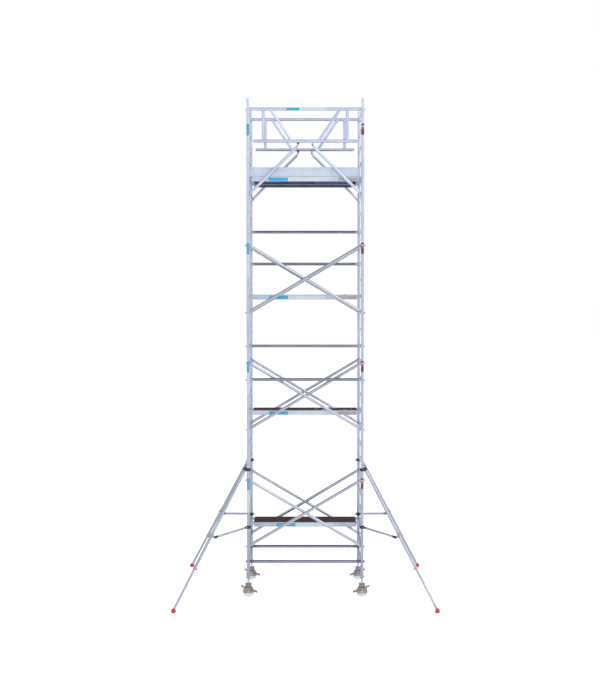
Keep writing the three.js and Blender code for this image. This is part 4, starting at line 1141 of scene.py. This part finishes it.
    # swivel socket and rubber foot
    Fm = P @ T((REACH, k * OFF, 0))
    a.lathe([(0, SL - 0.110), (0.0220, SL - 0.110), (0.0226, SL - 0.106), (0.0226, SL - 0.050), (0.0200, SL - 0.046), (0, SL - 0.046)], 28, 2, U)
    a.lathe([(0, 0), (0.0245, 0), (0.0260, 0.0010), (0.0272, 0.0035), (0.0288, 0.0035), (0.0305, 0.0060), (0.0318, 0.0060), (0.0348, 0.0115),
             (0.0372, 0.0220), (0.0380, 0.0330), (0.0374, 0.0430), (0.0345, 0.0510), (0.0300, 0.0560), (0.0240, 0.0600), (0.0235, 0.0660), (0.0200, 0.0680), (0, 0.0680)], 48, 5, Fm)
    for j in range(12):
        t = 2 * math.pi * j / 12
        a.box(0.0355, 0.0386, -0.0030, 0.0030, 0.012, 0.042, 5, Fm @ RZ(t), 0.001)
    piece(f"stabiliser_{cname}_leg_foot", a, MATS_S, f"stabiliser_{cname}_leg", [f"stabiliser_leg_{cname}"])

# ------------------------------------------------------------------ floor, light, camera
m, nt, p = new_mat("studio_floor")
co = nt.nodes.new("ShaderNodeTexCoord")
nz = nt.nodes.new("ShaderNodeTexNoise")
nz.inputs["Scale"].default_value = 0.4
link(nt, co.outputs["Object"], nz.inputs["Vector"])
rp = nt.nodes.new("ShaderNodeValToRGB")
rp.color_ramp.elements[0].color = (0.90, 0.90, 0.90, 1)
rp.color_ramp.elements[1].color = (0.94, 0.94, 0.94, 1)
link(nt, nz.outputs["Fac"], rp.inputs["Fac"])
link(nt, rp.outputs["Color"], p.inputs["Base Color"])
p.inputs["Roughness"].default_value = 0.9
p.inputs["Specular IOR Level"].default_value = 0.1
p.inputs["Emission Color"].default_value = (1, 0.985, 0.95, 1)
p.inputs["Emission Strength"].default_value = 0.37
fm = bpy.data.meshes.new("floor")
fm.from_pydata([(-90, -60, -0.001), (90, -60, -0.001), (90, 160, -0.001), (-90, 160, -0.001)], [], [(0, 1, 2, 3)])
fm.materials.append(m)
floor = bpy.data.objects.new("floor", fm)
bpy.context.scene.collection.objects.link(floor)

scene = bpy.context.scene
world = bpy.data.worlds.new("studio")
scene.world = world
world.use_nodes = True
wn = world.node_tree
wn.nodes.clear()
out = wn.nodes.new("ShaderNodeOutputWorld")
lp = wn.nodes.new("ShaderNodeLightPath")
tc = wn.nodes.new("ShaderNodeTexCoord")
sep = wn.nodes.new("ShaderNodeSeparateXYZ")
link(wn, tc.outputs["Generated"], sep.inputs["Vector"])
ramp = wn.nodes.new("ShaderNodeValToRGB")
mr = wn.nodes.new("ShaderNodeMapRange")
mr.inputs["From Min"].default_value = -1.0
mr.inputs["From Max"].default_value = 1.0
link(wn, sep.outputs["Z"], mr.inputs["Value"])
link(wn, mr.outputs["Result"], ramp.inputs["Fac"])
cr = ramp.color_ramp
cr.elements[0].position = 0.0
cr.elements[0].color = (0.80, 0.80, 0.80, 1)
cr.elements[1].position = 1.0
cr.elements[1].color = (0.07, 0.075, 0.10, 1)
for pos, c in ((0.48, (0.86, 0.88, 0.92)), (0.56, (1.0, 1.02, 1.08)), (0.80, (1.1, 1.12, 1.18)), (0.93, (0.36, 0.375, 0.44))):
    el = cr.elements.new(pos)
    el.color = c + (1,)
# large soft box high on the right
dot = wn.nodes.new("ShaderNodeVectorMath")
dot.operation = "DOT_PRODUCT"
link(wn, tc.outputs["Generated"], dot.inputs[0])
dot.inputs[1].default_value = (0.504, -0.10, 0.858)
soft = wn.nodes.new("ShaderNodeMapRange")
soft.interpolation_type = "SMOOTHSTEP"
soft.inputs["From Min"].default_value = 0.895
soft.inputs["From Max"].default_value = 0.975
soft.inputs["To Max"].default_value = 1.7
link(wn, dot.outputs["Value"], soft.inputs["Value"])
both = wn.nodes.new("ShaderNodeVectorMath")
both.operation = "ADD"
link(wn, ramp.outputs["Color"], both.inputs[0])
link(wn, soft.outputs["Result"], both.inputs[1])
bg1 = wn.nodes.new("ShaderNodeBackground")
bg1.inputs["Strength"].default_value = 1.0
link(wn, both.outputs["Vector"], bg1.inputs["Color"])
bg2 = wn.nodes.new("ShaderNodeBackground")
bg2.inputs["Color"].default_value = (1, 1, 1, 1)
bg2.inputs["Strength"].default_value = 1.0
mx = wn.nodes.new("ShaderNodeMixShader")
link(wn, lp.outputs["Is Camera Ray"], mx.inputs[0])
link(wn, bg1.outputs[0], mx.inputs[1])
link(wn, bg2.outputs[0], mx.inputs[2])
link(wn, mx.outputs[0], out.inputs["Surface"])

def area(name, loc, target, size, power, color=(1, 1, 1)):
    ld = bpy.data.lights.new(name, "AREA")
    ld.shape = "RECTANGLE"
    ld.size, ld.size_y = size
    ld.energy = power
    ld.color = color
    ob = bpy.data.objects.new(name, ld)
    scene.collection.objects.link(ob)
    ob.location = loc
    ob.rotation_euler = (Vector(target) - Vector(loc)).to_track_quat("-Z", "Y").to_euler()
    return ob


area("key", (7, -14, 16), (0, 0, 4), (9, 9), 480)

scene.view_settings.view_transform = "Standard"
scene.view_settings.look = "None"
scene.view_settings.exposure = 0.0
scene.view_settings.gamma = 1.0

cam = bpy.data.cameras.new("camera")
cam.sensor_width = 36.0
cam.sensor_height = 36.0
cam.sensor_fit = "AUTO"
cam.lens = 1243.6 * 36.0 / 698.0
cam.clip_end = 400
camo = bpy.data.objects.new("camera", cam)
scene.collection.objects.link(camo)
camo.location = (-0.0871, -21.329, 4.9482)
camo.rotation_euler = (math.radians(90 - 2.182), 0, 0)
scene.camera = camo

bpy.context.view_layer.update()
